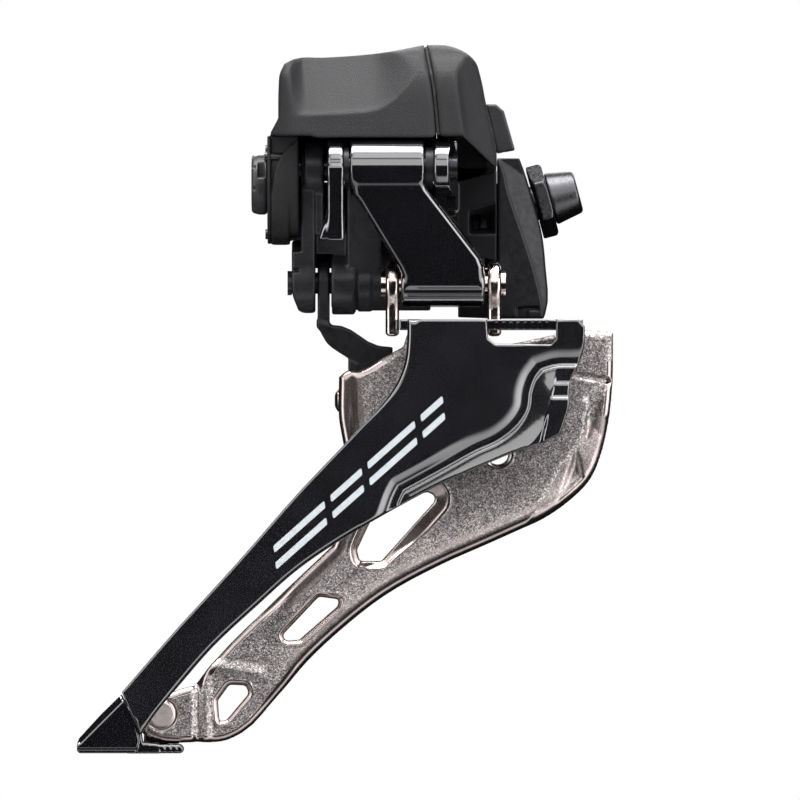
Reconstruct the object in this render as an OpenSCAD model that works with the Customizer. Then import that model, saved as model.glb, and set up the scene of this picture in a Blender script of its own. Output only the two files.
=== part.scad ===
// Motor-driven front derailleur for a double chainset, braze-on mount.
// X runs forward along the bicycle, Y runs inboard, Z runs up. Millimetres.
// The origin is where the fixing bolt's axis meets the bracket's curved seat.

/* [Linkage] */
// Lean of both links inboard at rest, the small-ring position
link_lean = 15; // [10:1:20]
// Height between the two pivots of each link
link_rise = 16.2; // [15.5:0.1:16.8]
// Depth of the outer link's upper pivot
outer_pivot_y = -19.5; // [-20:0.1:-19]
// Height of the outer link's upper pivot
outer_pivot_z = 4.9; // [4.5:0.1:5.1]
// Depth of the inner link's upper pivot
inner_pivot_y = -10.0; // [-10.4:0.1:-9.8]
// Height of the inner link's upper pivot
inner_pivot_z = 5.1; // [4.9:0.1:5.2]

/* [Pivots] */
// Radius of the outer link's upper shaft
outer_shaft_r = 1.75; // [1.5:0.05:1.9]
// Radius of the inner link's upper shaft
inner_shaft_r = 2.0; // [1.8:0.05:2.1]
// Radius of both lower pins
lower_pin_r = 1.5; // [1.3:0.05:1.6]
// Radial running clearance of every pivot
running = 0.05; // [0.03:0.01:0.08]

/* [Cage] */
// Outboard face of the outer plate
outer_plate_y = -22.6; // [-22.8:0.1:-22.4]
// Outboard face of the inner plate
inner_plate_y = -10.5; // [-10.6:0.1:-10.4]
// Thickness of both plates
plate_t = 1.5; // [1.3:0.1:1.5]
// Thickness of the outer plate's raised face
rib_t = 0.8; // [0.5:0.1:1]

/* [Gear train] */
// Module of the teeth
gear_module = 0.5; // [0.5:0.05:0.5]
// Teeth of a whole ring of the sector gear
sector_teeth = 36; // [36:1:36]
// Teeth of the motor pinion and of the idler's small gear
pinion_teeth = 10; // [10:1:10]
// Teeth of the idler's large gear
idler_teeth = 18; // [18:1:18]
// Play between teeth at the pitch circle
backlash = 0.06; // [0.04:0.01:0.1]

/* [Mount] */
// Tilt of the fixing bolt, which matches a seat tube
bolt_tilt = 15; // [12:1:18]
// Radius of the curved seat for the frame tab
seat_r = 20; // [16:1:22]
// Radius of the fixing bolt's shank
bolt_r = 2.45; // [2.4:0.05:2.5]
// Radius of the support bolt
support_r = 2.0; // [1.9:0.1:2]
// Radius of the socket for the cable's plug
port_r = 2.3; // [2.2:0.05:2.4]

/* [Hidden] */
$fn = 64;
eps = 0.02;   // gap between pieces that sit in each other on one body
over = 1;     // how far a cutter runs past a face

// Pivot centres as [y, z]
lean_y = link_rise * tan(link_lean);
link_length = link_rise / cos(link_lean);
outer_top = [outer_pivot_y, outer_pivot_z];
inner_top = [inner_pivot_y, inner_pivot_z];
outer_low = outer_top + [lean_y, -link_rise];
inner_low = inner_top + [lean_y, -link_rise];

// Gear centres as [y, z], from the sector's mesh direction and the motor's
mesh_angle = -20;
motor_angle = 85;
sector_to_idler = gear_module * (sector_teeth + pinion_teeth) / 2;
idler_to_motor = gear_module * (idler_teeth + pinion_teeth) / 2;
idler_at = inner_top + sector_to_idler * [cos(mesh_angle), sin(mesh_angle)];
motor_at = idler_at + idler_to_motor * [cos(motor_angle), sin(motor_angle)];
port_at = [9.9, 2.85];

// Screw centres, and the support bolt's, as [y, z] or [x, z]
cover_screw_spots = [[-14.5, 12.2], [10.4, 12.2], [-6, 18.9]];
cover_screw_heads = [-6.7, -6.7, -8.9];   // x of each head's face
case_screw_spots = [[-14.25, 6.5], [6.4, -4.2], [5.6, 7.6]];
bracket_screw_y = 5.5;
bracket_screw_z = [-3.2, 1.6];
support_at = [-1.5, -11.5];

// Spans along X
layer_1 = [-36.35, -35.05];       // sector gear and the idler's small gear
layer_2 = [-34.5, -33.3];         // the idler's large gear and the motor pinion
ear_left = [-28.6, -26.3];
ear_right = [-13.8, -10.4];
outer_barrel_top = [-25.4, -15.1];
outer_barrel_low = [-18.3, -6.7];
inner_arm = [-32.3, -30.2];
arm_foot_left = -33.6;            // the arm is wider below the gear case
inner_hub = [-31.9, -29.15];
inner_body = [-25.9, -21.1];
inner_barrel_low = [-28.0, -14.2];
leaf = [-30.0, -28.3];
lug_l = [-20.5, -18.6];
lug_r = [-6.3, -4.35];
wall_span = [-40, 0];             // covers the whole width of the housing
lid = [-37.0, -36.5];
collar = [-39.3, -37.05];         // of the socket

// Radii
outer_barrel_r = 3.9;
low_barrel_r = 3.8;
inner_barrel_r = 3.3;
inner_barrel_low_r = 4.4;
hub_r = 4.1;
bush_wall = 0.6;
motor_r = 4.0;
axle_r = 0.8;
motor_shaft_r = 0.75;
shaft_seal_r = 2.9;
port_wall = 0.8;
port_collar_r = 4.3;
port_pin_r = 0.3;
port_pin_offset = 0.6;
case_screw_r = 0.5;
bracket_screw_r = 1.0;
link_relief_r = 3.5;              // behind the outer link's web
lug_eye_r = 3.2;
lug_half_width = 2.3;
pin_head_r = 1.9;
pin_head_t = 0.6;
rivet_r = 0.9;
cage_arm_play = 0.08;             // round the inner link's lower pin, where the linkage is open
screw_r = 0.8;
screw_head_r = 1.35;

// Depths
housing_front = -21.2;
housing_back = 13.6;
case_top = 9.4;
arm_foot_back = -7.4;
flange_back = -3.5;
bridge_top = -16.2;
bridge_low = -17.7;

// ---------------------------------------------------------------- helpers

// Extrudes an outline of [y, z] points from x = span[0] to span[1]
module along_x(span) {
    translate([span[0], 0, 0])
        rotate([90, 0, 90])
            linear_extrude(span[1] - span[0])
                children();
}

// Extrudes an outline of [x, z] points from y = span[0] to span[1]
module along_y(span) {
    translate([0, span[1], 0])
        rotate([90, 0, 0])
            linear_extrude(span[1] - span[0])
                children();
}

// A cylinder along X about centre = [y, z]
module rod_x(span, centre, r) {
    translate([span[0], centre[0], centre[1]])
        rotate([0, 90, 0])
            cylinder(r = r, h = span[1] - span[0]);
}

// A cylinder along Y about centre = [x, z]
module rod_y(span, centre, r) {
    translate([centre[0], span[1], centre[1]])
        rotate([90, 0, 0])
            cylinder(r = r, h = span[1] - span[0]);
}

// A tube along X
module tube_x(span, centre, r_out, r_in) {
    difference() {
        rod_x(span, centre, r_out);
        rod_x([span[0] - over, span[1] + over], centre, r_in);
    }
}

// Places children with their +Z along the fixing bolt, away from the seat
module on_bolt() {
    rotate([0, 90 - bolt_tilt, 0])
        children();
}

// Places children drawn as [y, z] about a link's upper pivot, hanging straight down
module on_link(top) {
    translate([0, top[0], top[1]])
        rotate([link_lean, 0, 0])
            children();
}

// A socket-head screw along X with its head at the right
module screw_x(head_x, tip_x, at) {
    difference() {
        union() {
            rod_x([head_x - 1.0, head_x], at, screw_head_r);
            rod_x([tip_x, head_x - 1.0], at, screw_r);
        }
        translate([head_x - 0.6, at[0], at[1]])
            rotate([0, 90, 0])
                cylinder(r = 0.75, h = over, $fn = 6);
    }
}

// Involute gear tooth: half its angle at radius rho
function inv_deg(a) = tan(a) * 180 / PI - a;
pressure = 25;
function half_tooth(rho, teeth) =
    let (pitch_r = gear_module * teeth / 2, base_r = pitch_r * cos(pressure))
    90 / teeth - backlash / 2 / pitch_r * 180 / PI + inv_deg(pressure)
    - (rho > base_r ? inv_deg(acos(base_r / rho)) : 0);
function polar(r, a) = [r * cos(a), r * sin(a)];
function flank_radii(teeth) =
    let (pitch_r = gear_module * teeth / 2, low = pitch_r - 1.15 * gear_module,
         high = pitch_r + 0.85 * gear_module)
    [for (i = [0:4]) low + (high - low) * i / 4];
function one_tooth(teeth, a) =
    let (radii = flank_radii(teeth))
    concat([for (i = [0:4]) polar(radii[i], a - half_tooth(radii[i], teeth))],
           [for (i = [4:-1:0]) polar(radii[i], a + half_tooth(radii[i], teeth))]);

// Gear outline with a tooth at angle phase
module gear_outline(teeth, phase) {
    polygon([for (k = [0:teeth - 1]) each one_tooth(teeth, phase + 360 * k / teeth)]);
}

// ---------------------------------------------------------------- outlines

// Front view of the housing, with its seam at the right
housing_front_view = [[-31, 3], [-13.0, 3], [-13.3, 9.1], [-14.0, 16.3], [-15.1, 22.1], [-17.8, 21.6],
                      [-20.9, 20.9], [-33.4, 20.0], [-34.8, 19.4], [-35.5, 17.6], [-35.4, 11.5],
                      [-36.9, 9.4], [-31, 9.4]];
housing_side_view = [[-21.2, 9.4], [-21.2, 15.5], [-20.5, 18.2], [-18.4, 20.6], [-15.6, 22.1],
                     [6, 22.1], [10, 19.5], [13, 14.5], [13.6, 10], [13.6, 3], [-4, 3], [-4, 9.4]];
// The cover reaches lower in front than the shell does
cover_side_view = [[-21.2, 4.3], [-21.2, 15.5], [-20.5, 18.2], [-18.4, 20.6], [-15.6, 22.1],
                   [6, 22.1], [10, 19.5], [13, 14.5], [13.6, 10], [13.6, 3], [-4, 3], [-4, 4.3]];
cavity_front_view = [[-29.8, 4], [-8, 4], [-8, 20.6], [-17.5, 20.4], [-20.8, 19.7], [-33.1, 18.8],
                     [-34.2, 17.4], [-34.1, 11.6], [-34.1, 10.6], [-29.8, 10.6]];
cavity_side_view = [[-19.9, 10.6], [-19.9, 15.2], [-19.3, 17.5], [-17.6, 19.5], [-15.3, 20.8],
                    [5.6, 20.8], [9.2, 18.6], [11.9, 14.1], [12.4, 9.8], [12.4, 4], [-3, 4], [-3, 10.6]];
cover_front_view = [[-12.6, 3], [-5.2, 3], [-4.9, 6.9], [-6.6, 14.2], [-7.6, 18.5], [-8.3, 19.9],
                    [-11.6, 22], [-14.7, 22.1], [-13.6, 16.3], [-12.9, 9.1]];

// Outer plate: straight top, hooked front, long arm that follows the large chainring
outer_plate_view = [[-17.5, -16.2], [-6.4, -16.2], [-6.4, -18.6], [-5.2, -19.5], [2.6, -19.5],
                    [3.2, -18.8], [3.2, -16.2], [6.4, -16.2], [7.2, -17], [7.2, -20.2],
                    [6.7, -22.4], [5.5, -24.5], [4.9, -29.5], [3.85, -31.8], [1.3, -33.3],
                    [-1.7, -34.2], [-12.25, -38.9], [-18.7, -42.3], [-23.8, -45.2],
                    [-32.5, -50.9], [-38.5, -56.2], [-44.5, -61.8], [-49.6, -67.5],
                    [-53.3, -72.4], [-54.7, -74.2], [-57.2, -68.2], [-49.2, -58.9],
                    [-40.9, -49.8], [-32.5, -40.2], [-24.6, -31.9], [-20.7, -27.8],
                    [-18.7, -24.8], [-17.75, -22.3], [-17.4, -19.3]];
// Raised face of the outer plate, which leaves the lower flange strip lower
outer_rib_view = [[-17.2, -16.6], [-6.8, -16.6], [-6.8, -19.9], [3.0, -19.9], [3.6, -16.6],
                  [6.6, -17], [6.7, -20.8], [1.5, -21.8], [-0.8, -23.8], [-1.9, -28.1],
                  [-3.8, -30.6], [-10.1, -34.5], [-18.8, -39.3], [-20.2, -42.2], [-23.8, -44.6],
                  [-32.3, -50.3], [-44.1, -61.4], [-53, -71.6], [-54.6, -73.4], [-56.8, -68.4],
                  [-48.8, -59], [-40.4, -50], [-32, -40.5], [-20.2, -28], [-18.2, -24.8], [-17.1, -20]];
inner_plate_view = [[4.2, -18], [7.4, -17.6], [11.4, -17.9], [11.2, -25.9], [10.6, -33.1],
                    [9.2, -37.2], [7.1, -40], [3.2, -43], [-1.7, -45.2], [-5.7, -47.1],
                    [-12.9, -50.4], [-20.7, -54.6], [-26.6, -59.4], [-31.3, -63.8], [-35.3, -68.5],
                    [-40.7, -74.2], [-42.9, -75.2], [-47, -75.3], [-54.5, -74.6], [-54.5, -70],
                    [-49.2, -67.7], [-47.2, -67.2], [-44.3, -63.6], [-35.3, -54.7], [-28, -47.8],
                    [-25.7, -42], [-25.7, -23.4], [-18.1, -19.9], [-17, -16.2], [-7, -16.2],
                    [-6.9, -19.9], [-3, -19.5], [0, -18.9]];
hole_1 = [[-24.3, -48.6], [-23.7, -49.9], [-21.1, -49.7], [-13.8, -41.3], [-14.8, -40.3],
          [-18.5, -40.9], [-23.6, -44.5]];
hole_2 = [[-34.9, -60], [-29.8, -54.9], [-26.9, -55.3], [-27.1, -56.1], [-32.6, -60.8], [-34.7, -60.8]];
hole_3 = [[-43.9, -69.3], [-42.3, -67.3], [-40, -67.3], [-39.7, -68.5], [-42.9, -72], [-43.7, -72.2]];
small_hole = [-4.9, -34.7];
tail_hole = [-51.8, -71.3];
flange_hole = [-6, -27.5];      // [y, z] of the arm's rivet

// Front view of the outer link's web: [x, distance below the upper pivot]
outer_web_view = [[-25.1, -0.5], [-25.1, -3.6], [-24.6, -4.6], [-18.6, -14.6], [-18.1, -16], [-18.1, -16.6],
                  [-6.9, -16.6], [-6.9, -15.4], [-7.2, -14], [-14.7, -3.5], [-15.4, -2.4], [-15.4, -0.5]];

// ---------------------------------------------------------------- housing

module housing_main() {
    color([0.2, 0.2, 0.21])
    difference() {
        union() {
            difference() {
                intersection() {
                    along_y([housing_front, housing_back]) polygon(housing_front_view);
                    along_x(wall_span) polygon(housing_side_view);
                }
                intersection() {
                    along_y([housing_front, housing_back]) polygon(cavity_front_view);
                    along_x(wall_span) polygon(cavity_side_view);
                }
            }
            for (at = cover_screw_spots)
                rod_x([-19, -15.3], at, 1.9);
        }
        for (at = cover_screw_spots)
            rod_x([-18, -10], at, screw_r + eps);
        rod_x([-32, -29], motor_at, motor_shaft_r + 0.35);
        // room for the motor pinion and for the top of the sector gear
        translate([-34.9, motor_at[0] - 3.4, case_top - over])
            cube([4.3, 6.8, 3.6]);
        translate([-36.0, inner_top[0] - 2, case_top - over])
            cube([1.2, 12, 1.9]);
    }
}

module housing_cover() {
    color([0.17, 0.17, 0.18])
    difference() {
        intersection() {
            along_y([housing_front, housing_back]) polygon(cover_front_view);
            along_x(wall_span) polygon(cover_side_view);
        }
        // hollow inside, open towards the main shell
        intersection() {
            along_y([housing_front, housing_back])
                polygon([[-15, 4.4], [-7, 4.4], [-7, 9], [-8.6, 16], [-9.8, 18.6], [-12.2, 20.2],
                         [-15, 20.2]]);
            along_x(wall_span) polygon([for (p = cavity_side_view) [p[0], p[1] - 0.3]]);
        }
        for (i = [0:2]) {
            rod_x([-16, 0], cover_screw_spots[i], screw_r + 0.05);
            rod_x([cover_screw_heads[i] - 1.1, 0], cover_screw_spots[i], screw_head_r + 0.1);
        }
        // slanted underside in front of the base frame
        along_y([housing_front - over, -4])
            polygon([[-16, 0], [-16, 9.4], [-9.8, 9.4], [-5.1, 4.8], [-3, 2.7], [-3, 0]]);
        // steps up over the base frame's block and over the bracket
        translate([-13, -9, 2])
            cube([10, 17.4, 2.9]);
        translate([-6.2, -8, 2])
            cube([5, 17, 4.6]);
    }
}

module housing_gasket() {
    color([0.05, 0.05, 0.05])
    difference() {
        intersection() {
            along_y([housing_front, housing_back])
                polygon([[-12.98, 3], [-12.62, 3], [-12.92, 9.1], [-13.62, 16.3], [-14.72, 22.1],
                         [-15.08, 22.1], [-13.98, 16.3], [-13.28, 9.1]]);
            along_x(wall_span) polygon([for (p = housing_side_view) [p[0] * 0.985, p[1] - 0.3]]);
        }
        along_x(wall_span)
            polygon([[-18.3, 11.8], [-17.5, 16.6], [-15.0, 18.8], [5, 18.8], [8.2, 17], [10.4, 13.4],
                     [11, 9.6], [11, 5.4], [-1.6, 5.4], [-1.6, 11.8]]);
        for (at = cover_screw_spots)
            rod_x([-20, -8], at, screw_r + 0.05);
        // stays above the slanted underside
        translate([-16, housing_front - over, 0])
            cube([5, -4 - housing_front + over, 9.5]);
    }
}

module cover_screws() {
    color([0.35, 0.35, 0.37])
    for (i = [0:2])
        screw_x(cover_screw_heads[i], -17.5, cover_screw_spots[i]);
}

module rear_block() {
    color([0.1, 0.1, 0.1])
    along_y([9.2, 12.6])
        polygon([[-6.5, 14.1], [-5.0, 14.1], [-3.9, 13.1], [-2.3, 7.6], [-4.9, 7.1]]);
}

// ---------------------------------------------------------------- gear case

module case_outline() {
    polygon([[-15, case_top], [-15, 3], [-13.6, -1.8], [-10.5, -4.6], [-7, -5.2], [10, -5.2],
             [12.6, -3.6], [housing_back, -1], [housing_back, case_top]]);
}

module gear_case() {
    color([0.2, 0.2, 0.21])
    difference() {
        union() {
            along_x([-36.5, -33.9])
                case_outline();
            // thick front wall round the inner link's shaft
            along_x([-34, -32.6])
                polygon([[-15, case_top], [-15, 3], [-13.9, -0.9], [-12, -3.2], [-9.5, -4.4], [-8, -4.4],
                         [-8, case_top]]);
            // bulge over the idler's large gear, and the block round the socket
            rod_x([-34, -31.8], idler_at, 5.5);
            along_x([-34, -31.2])
                polygon([[0, -4.9], [10, -5.1], [12.6, -3.6], [housing_back, -1], [housing_back, 2.9],
                         [motor_at[0] - 3.4, 2.9]]);
        }
        // layer 1: sector gear and small idler gear
        along_x([-37, -34.6])
            polygon([[-13.5, case_top + over], [-13.5, 2.8], [-12.5, -1.2], [-9.8, -3.6], [-7.5, -4.5],
                     [0, -4.5], [4.2, -1.5], [4.6, case_top + over]]);
        // layer 2: large idler gear and motor pinion
        rod_x([-35, -32.9], idler_at, 5.05);
        translate([-34.7, motor_at[0] - 3.2, motor_at[1] - 3.2])
            cube([3.6, 6.4, 6]);
        rod_x([-37, -33.4], inner_top, shaft_seal_r + eps);
        rod_x([-34, -32], inner_top, inner_shaft_r + 0.4);
        rod_x([-37, -32.2], idler_at, axle_r + eps);
        rod_x([-40, -32.4], port_at, port_r + port_wall + eps);
        for (at = case_screw_spots)
            rod_x([-37, -34.2], at, case_screw_r + eps);
    }
}

module gear_case_lid() {
    color([0.22, 0.22, 0.23])
    difference() {
        along_x(lid)
            case_outline();
        rod_x([-38, -36], port_at, port_r + port_wall + eps);
        for (at = case_screw_spots)
            rod_x([-38, -36], at, case_screw_r + eps);
    }
}

module case_screws() {
    color([0.4, 0.4, 0.42])
    for (at = case_screw_spots)
        difference() {
            union() {
                rod_x([lid[0] - 0.35, lid[0]], at, case_screw_r + 0.2);
                rod_x([lid[0], -34.4], at, case_screw_r);
            }
            rod_x([lid[0] - over, lid[0] - 0.15], at, 0.35);
        }
}

// Round socket for the cable's plug, with a release notch in its collar
module wire_port() {
    color([0.1, 0.1, 0.11])
    difference() {
        union() {
            rod_x([collar[0], -32.5], port_at, port_r + port_wall);
            rod_x(collar, port_at, port_collar_r);
        }
        rod_x([-40, -33.2], port_at, port_r);
        for (s = [-1, 1])
            rod_x([-34, -32], port_at + [s * port_pin_offset, 0], port_pin_r + eps);
        translate([-38.9, port_at[0] - 1.2, port_at[1] + 3.1])
            cube([1.3, 2.4, 3]);
    }
}

module port_pins() {
    color([0.85, 0.7, 0.35])
    for (s = [-1, 1])
        rod_x([-33.2, -32.45], port_at + [s * port_pin_offset, 0], port_pin_r);
}

module shaft_seal() {
    color([0.05, 0.05, 0.05])
    tube_x([-34.5, -34.0], inner_top, shaft_seal_r, inner_shaft_r + running);
}

module circuit_board() {
    color([0.05, 0.3, 0.15])
    union() {
        translate([-33, -15, 11.2])
            cube([12.6, 1.2, 7.2]);
        translate([-31, -17, 12.5])
            cube([4, 2, 4]);
        translate([-25.6, -16.4, 12.5])
            cube([4.4, 1.4, 3]);
    }
}

module motor_can() {
    color([0.6, 0.6, 0.62])
    difference() {
        union() {
            rod_x([-29.7, -15.6], motor_at, motor_r);
            rod_x([-15.6, -14.9], motor_at, 2);
        }
        rod_x([-31, -28.2], motor_at, 1.6 + eps);
        rod_x([-29, -26], motor_at, motor_shaft_r + 0.2);
    }
}

module motor_bearing() {
    color([0.7, 0.65, 0.5])
    tube_x([-29.7, -28.2], motor_at, 1.6, motor_shaft_r + running);
}

module motor_pinion() {
    color([0.75, 0.7, 0.55])
    union() {
        translate([0, motor_at[0], motor_at[1]])
            along_x(layer_2)
                gear_outline(pinion_teeth, motor_angle + 180);
        rod_x([layer_2[1], -26.2], motor_at, motor_shaft_r);
    }
}

module idler_axle() {
    color([0.7, 0.7, 0.72])
    rod_x([-36.48, -32.3], idler_at, axle_r);
}

// Compound idler: small gear in mesh with the sector, large gear with the motor pinion
module idler_gear() {
    color([0.75, 0.7, 0.55])
    difference() {
        translate([0, idler_at[0], idler_at[1]])
            union() {
                along_x(layer_1)
                    gear_outline(pinion_teeth, mesh_angle + 180 + 180 / pinion_teeth);
                along_x([layer_1[1], layer_2[0]])
                    circle(r = 1.8);
                along_x(layer_2)
                    gear_outline(idler_teeth, motor_angle + 180 / idler_teeth);
            }
        rod_x([-38, -32], idler_at, axle_r + running);
    }
}

module sector_gear() {
    color([0.75, 0.7, 0.55])
    difference() {
        translate([0, inner_top[0], inner_top[1]])
            along_x(layer_1)
                union() {
                    polygon(concat([polar(2.2, mesh_angle - 70)],
                                   [for (k = [-1:4]) each one_tooth(sector_teeth,
                                                                    mesh_angle + 360 * k / sector_teeth)],
                                   [polar(2.2, mesh_angle + 110)]));
                    circle(r = 3.2);
                }
        rod_x([-38, -34], inner_top, inner_shaft_r + eps);
    }
}

// ---------------------------------------------------------------- base

module ear(front_lobe) {
    difference() {
        union() {
            translate(outer_top) circle(r = 3.6);
            translate(inner_top) circle(r = 3.9);
            polygon([[outer_top[0], outer_top[1] - 3.6], [inner_top[0], inner_top[1] - 3.9],
                     [inner_top[0], inner_top[1] + 3.6], [outer_top[0], outer_top[1] + 3.6]]);
            polygon([[-12.4, 2.2], [-4, -5], [1, -5], [1, 2.7], [-4.6, 2.7], [-6.4, 6.4]]);
            if (front_lobe)
                polygon([[-23.1, 4.9], [-22.6, -1], [-21.8, -5], [-18.7, -5], [-18, -1], [-17, 2.2]]);
        }
        translate(outer_top) circle(r = outer_shaft_r + eps);
        translate(inner_top) circle(r = inner_shaft_r + running + bush_wall + eps);
    }
}

module base_frame() {
    color([0.05, 0.05, 0.06])
    difference() {
        union() {
            along_x(ear_left) ear(true);
            // flared foot of the left ear's front lobe
            along_y([-21.9, -18.8])
                polygon([[-28.6, -1.5], [-29.8, -4], [-29.8, -5], [-26.3, -5], [-26.3, -1.5]]);
            along_x(ear_right) ear(false);
            // cross-member behind the links
            translate([ear_left[0], -3, -5])
                cube([23.6, 4, 7.7]);
            // skirt behind the lower barrels and the left arm
            translate([ear_left[0], -0.4, -9])
                cube([23.6, 1.4, 4.5]);
            translate([-31.0, -0.4, -9])
                cube([3, 1.4, 11.7]);
            // block that carries the bracket
            along_y([-8.4, 8])
                polygon([[-12, 2.7], [-4.95, 4.6], [-4.95, -8.2], [-7.2, -7.6], [-12, -5]]);
        }
        // pyramid recess in the block's front
        translate([-8.7, -8.4 - over, -4.2])
            cube([3.2, 2.2, 3.4]);
        for (z = bracket_screw_z)
            rod_x([-12, -4], [bracket_screw_y, z], bracket_screw_r + eps);
        // room for the inner link's upper barrel
        rod_x([ear_left[1], ear_right[0]], inner_top, 3.9);
    }
}

module base_bushes() {
    color([0.6, 0.5, 0.3])
    for (span = [ear_left, ear_right])
        tube_x(span, inner_top, inner_shaft_r + running + bush_wall, inner_shaft_r + running);
}

module outer_upper_shaft() {
    color([0.7, 0.7, 0.72])
    rod_x([ear_left[0] + 0.1, ear_right[1] - 0.1], outer_top, outer_shaft_r);
}

module thrust_washers() {
    color([0.8, 0.8, 0.82])
    for (span = [[-26.25, -25.6], [-14.9, -13.85]])
        tube_x(span, outer_top, 2.9, outer_shaft_r + eps);
}

// Bracket with the curved seat that the frame tab is clamped to
module mount_bracket() {
    color([0.1, 0.1, 0.11])
    difference() {
        union() {
            along_y([-0.5, 8])
                polygon([[-4.9, -9.05], [-10.4, -9.05], [-10.4, -15.9], [-4.9, -16.1]]);
            along_y([-6.5, 8])
                polygon([[-4.9, 6.4], [-1.4, 6.4], [1.45, -4.5], [1.9, -10], [1.85, -16.1],
                         [-4.9, -16.1]]);
        }
        // concave seat, about an axis along the seat tube
        rotate([0, -bolt_tilt, 0])
            translate([seat_r, 0, -4.6])
                cylinder(r = seat_r, h = 12, $fn = 128);
        on_bolt()
            translate([0, 0, -12])
                cylinder(r = bolt_r + 0.06, h = 20);
        rod_y([-4.6, 9], support_at, support_r + 0.06);
        for (z = bracket_screw_z) {
            rod_x([-6, 5], [bracket_screw_y, z], bracket_screw_r + eps);
            rod_x([-2.4, 5], [bracket_screw_y, z], bracket_screw_r + 0.8);
        }
    }
}

module bracket_screws() {
    color([0.4, 0.4, 0.42])
    for (z = bracket_screw_z)
        difference() {
            union() {
                rod_x([-9.5, -2.4], [bracket_screw_y, z], bracket_screw_r);
                rod_x([-2.4, -1.2], [bracket_screw_y, z], bracket_screw_r + 0.7);
            }
            translate([-1.8, bracket_screw_y, z])
                rotate([0, 90, 0])
                    cylinder(r = 0.9, h = over, $fn = 6);
        }
}

// Hexagonal washer, rounded on the side that meets the frame tab
module radius_washer() {
    color([0.25, 0.25, 0.26])
    difference() {
        intersection() {
            on_bolt()
                rotate([0, 0, 30])
                    cylinder(r = 5.2, h = 2.6, $fn = 6);
            rotate([0, -bolt_tilt, 0])
                translate([seat_r + 0.35, 0, -8])
                    cylinder(r = seat_r, h = 16, $fn = 128);
        }
        on_bolt()
            translate([0, 0, -1])
                cylinder(r = bolt_r + 0.1, h = 6);
    }
}

module fixing_bolt() {
    color([0.3, 0.3, 0.31])
    on_bolt()
        difference() {
            union() {
                translate([0, 0, -4.4])
                    cylinder(r = bolt_r, h = 7.05);
                translate([0, 0, 2.62])
                    cylinder(r1 = 3.75, r2 = 2.95, h = 4.1);
            }
            translate([0, 0, 3.9])
                cylinder(r = 2.3, h = 4, $fn = 6);
        }
}

// Bolt that props the derailleur against the seat tube
module support_bolt() {
    color([0.35, 0.35, 0.37])
    difference() {
        rod_y([-2.6, 12], support_at, support_r);
        translate([support_at[0], 12 + over, support_at[1]])
            rotate([90, 0, 0])
                cylinder(r = 1.1, h = 3, $fn = 6);
    }
}

// ---------------------------------------------------------------- links

module outer_link() {
    color([0.04, 0.04, 0.05])
    difference() {
        union() {
            rod_x(outer_barrel_top, outer_top, outer_barrel_r);
            rod_x(outer_barrel_low, outer_low, low_barrel_r);
            on_link(outer_top)
                along_y([-3.6, -0.2])
                    polygon(outer_web_view);
        }
        rod_x([-30, -5], outer_top, outer_shaft_r + running + bush_wall + eps);
        rod_x([-30, -5], outer_low, lower_pin_r + running + bush_wall + eps);
        // relief behind the web for the left lug
        rod_x([-26, lug_l[1] + 0.1], outer_low, link_relief_r);
    }
}

module outer_link_bushes() {
    color([0.6, 0.5, 0.3])
    union() {
        for (span = [[-25.4, -21.4], [-19.1, -15.1]])
            tube_x(span, outer_top, outer_shaft_r + running + bush_wall, outer_shaft_r + running);
        for (span = [[-18.3, -14.3], [-10.7, -6.7]])
            tube_x(span, outer_low, lower_pin_r + running + bush_wall, lower_pin_r + running);
    }
}

// Side view of an inner link arm, hanging below its upper pivot
module inner_arm_view() {
    union() {
        circle(r = inner_barrel_r);
        translate([0, -link_length]) circle(r = inner_barrel_r);
        translate([-inner_barrel_r, -link_length]) square([2 * inner_barrel_r, link_length]);
    }
}

module inner_link() {
    color([0.08, 0.08, 0.09])
    difference() {
        union() {
            on_link(inner_top)
                along_x(inner_arm) inner_arm_view();
            on_link(inner_top)
                along_x([arm_foot_left, inner_arm[0] + over])
                    intersection() {
                        inner_arm_view();
                        translate([-10, -30]) square([20, 18.6]);
                    }
            on_link(inner_top)
                along_x(inner_body) inner_arm_view();
            // web between the arms, below the ear and above the cage arm's leaf
            on_link(inner_top)
                translate([inner_arm[1], -1.2, -12.3])
                    cube([inner_body[0] - inner_arm[1], 2.4, 3]);
            rod_x([-26.0, -14.2], inner_top, inner_barrel_r - 0.2);
            rod_x(inner_barrel_low, inner_low, inner_barrel_low_r);
            // hub beside the left ear, and the arm's shoulder below it
            rod_x(inner_hub, inner_top, hub_r);
            on_link(inner_top)
                translate([inner_arm[1] - over, -3, -9])
                    cube([inner_hub[1] - inner_arm[1] + over, 6, 9]);
        }
        rod_x([-40, -10], inner_top, inner_shaft_r + eps);
        rod_x([-40, -10], inner_low, lower_pin_r + eps);
    }
}

module inner_upper_shaft() {
    color([0.7, 0.7, 0.72])
    rod_x([layer_1[0] + 0.1, ear_right[1] - 0.1], inner_top, inner_shaft_r);
}

module inner_lower_pin() {
    color([0.3, 0.3, 0.32])
    union() {
        rod_x([arm_foot_left, inner_barrel_low[1] - 0.1], inner_low, lower_pin_r);
        rod_x([arm_foot_left - 0.6, arm_foot_left], inner_low, 1.7);
    }
}

// ---------------------------------------------------------------- cage

// A lug that stands on the bridge and holds the outer link's lower pin
module lug(span) {
    color([0.85, 0.78, 0.76])
    difference() {
        along_x(span)
            union() {
                translate(outer_low) circle(r = lug_eye_r);
                translate([outer_low[0] - lug_half_width, -18.6]) square([2 * lug_half_width, 7.3]);
            }
        rod_x([-30, 0], outer_low, lower_pin_r + eps);
    }
}

module lug_left() {
    lug(lug_l);
}

module lug_right() {
    lug(lug_r);
}

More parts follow.
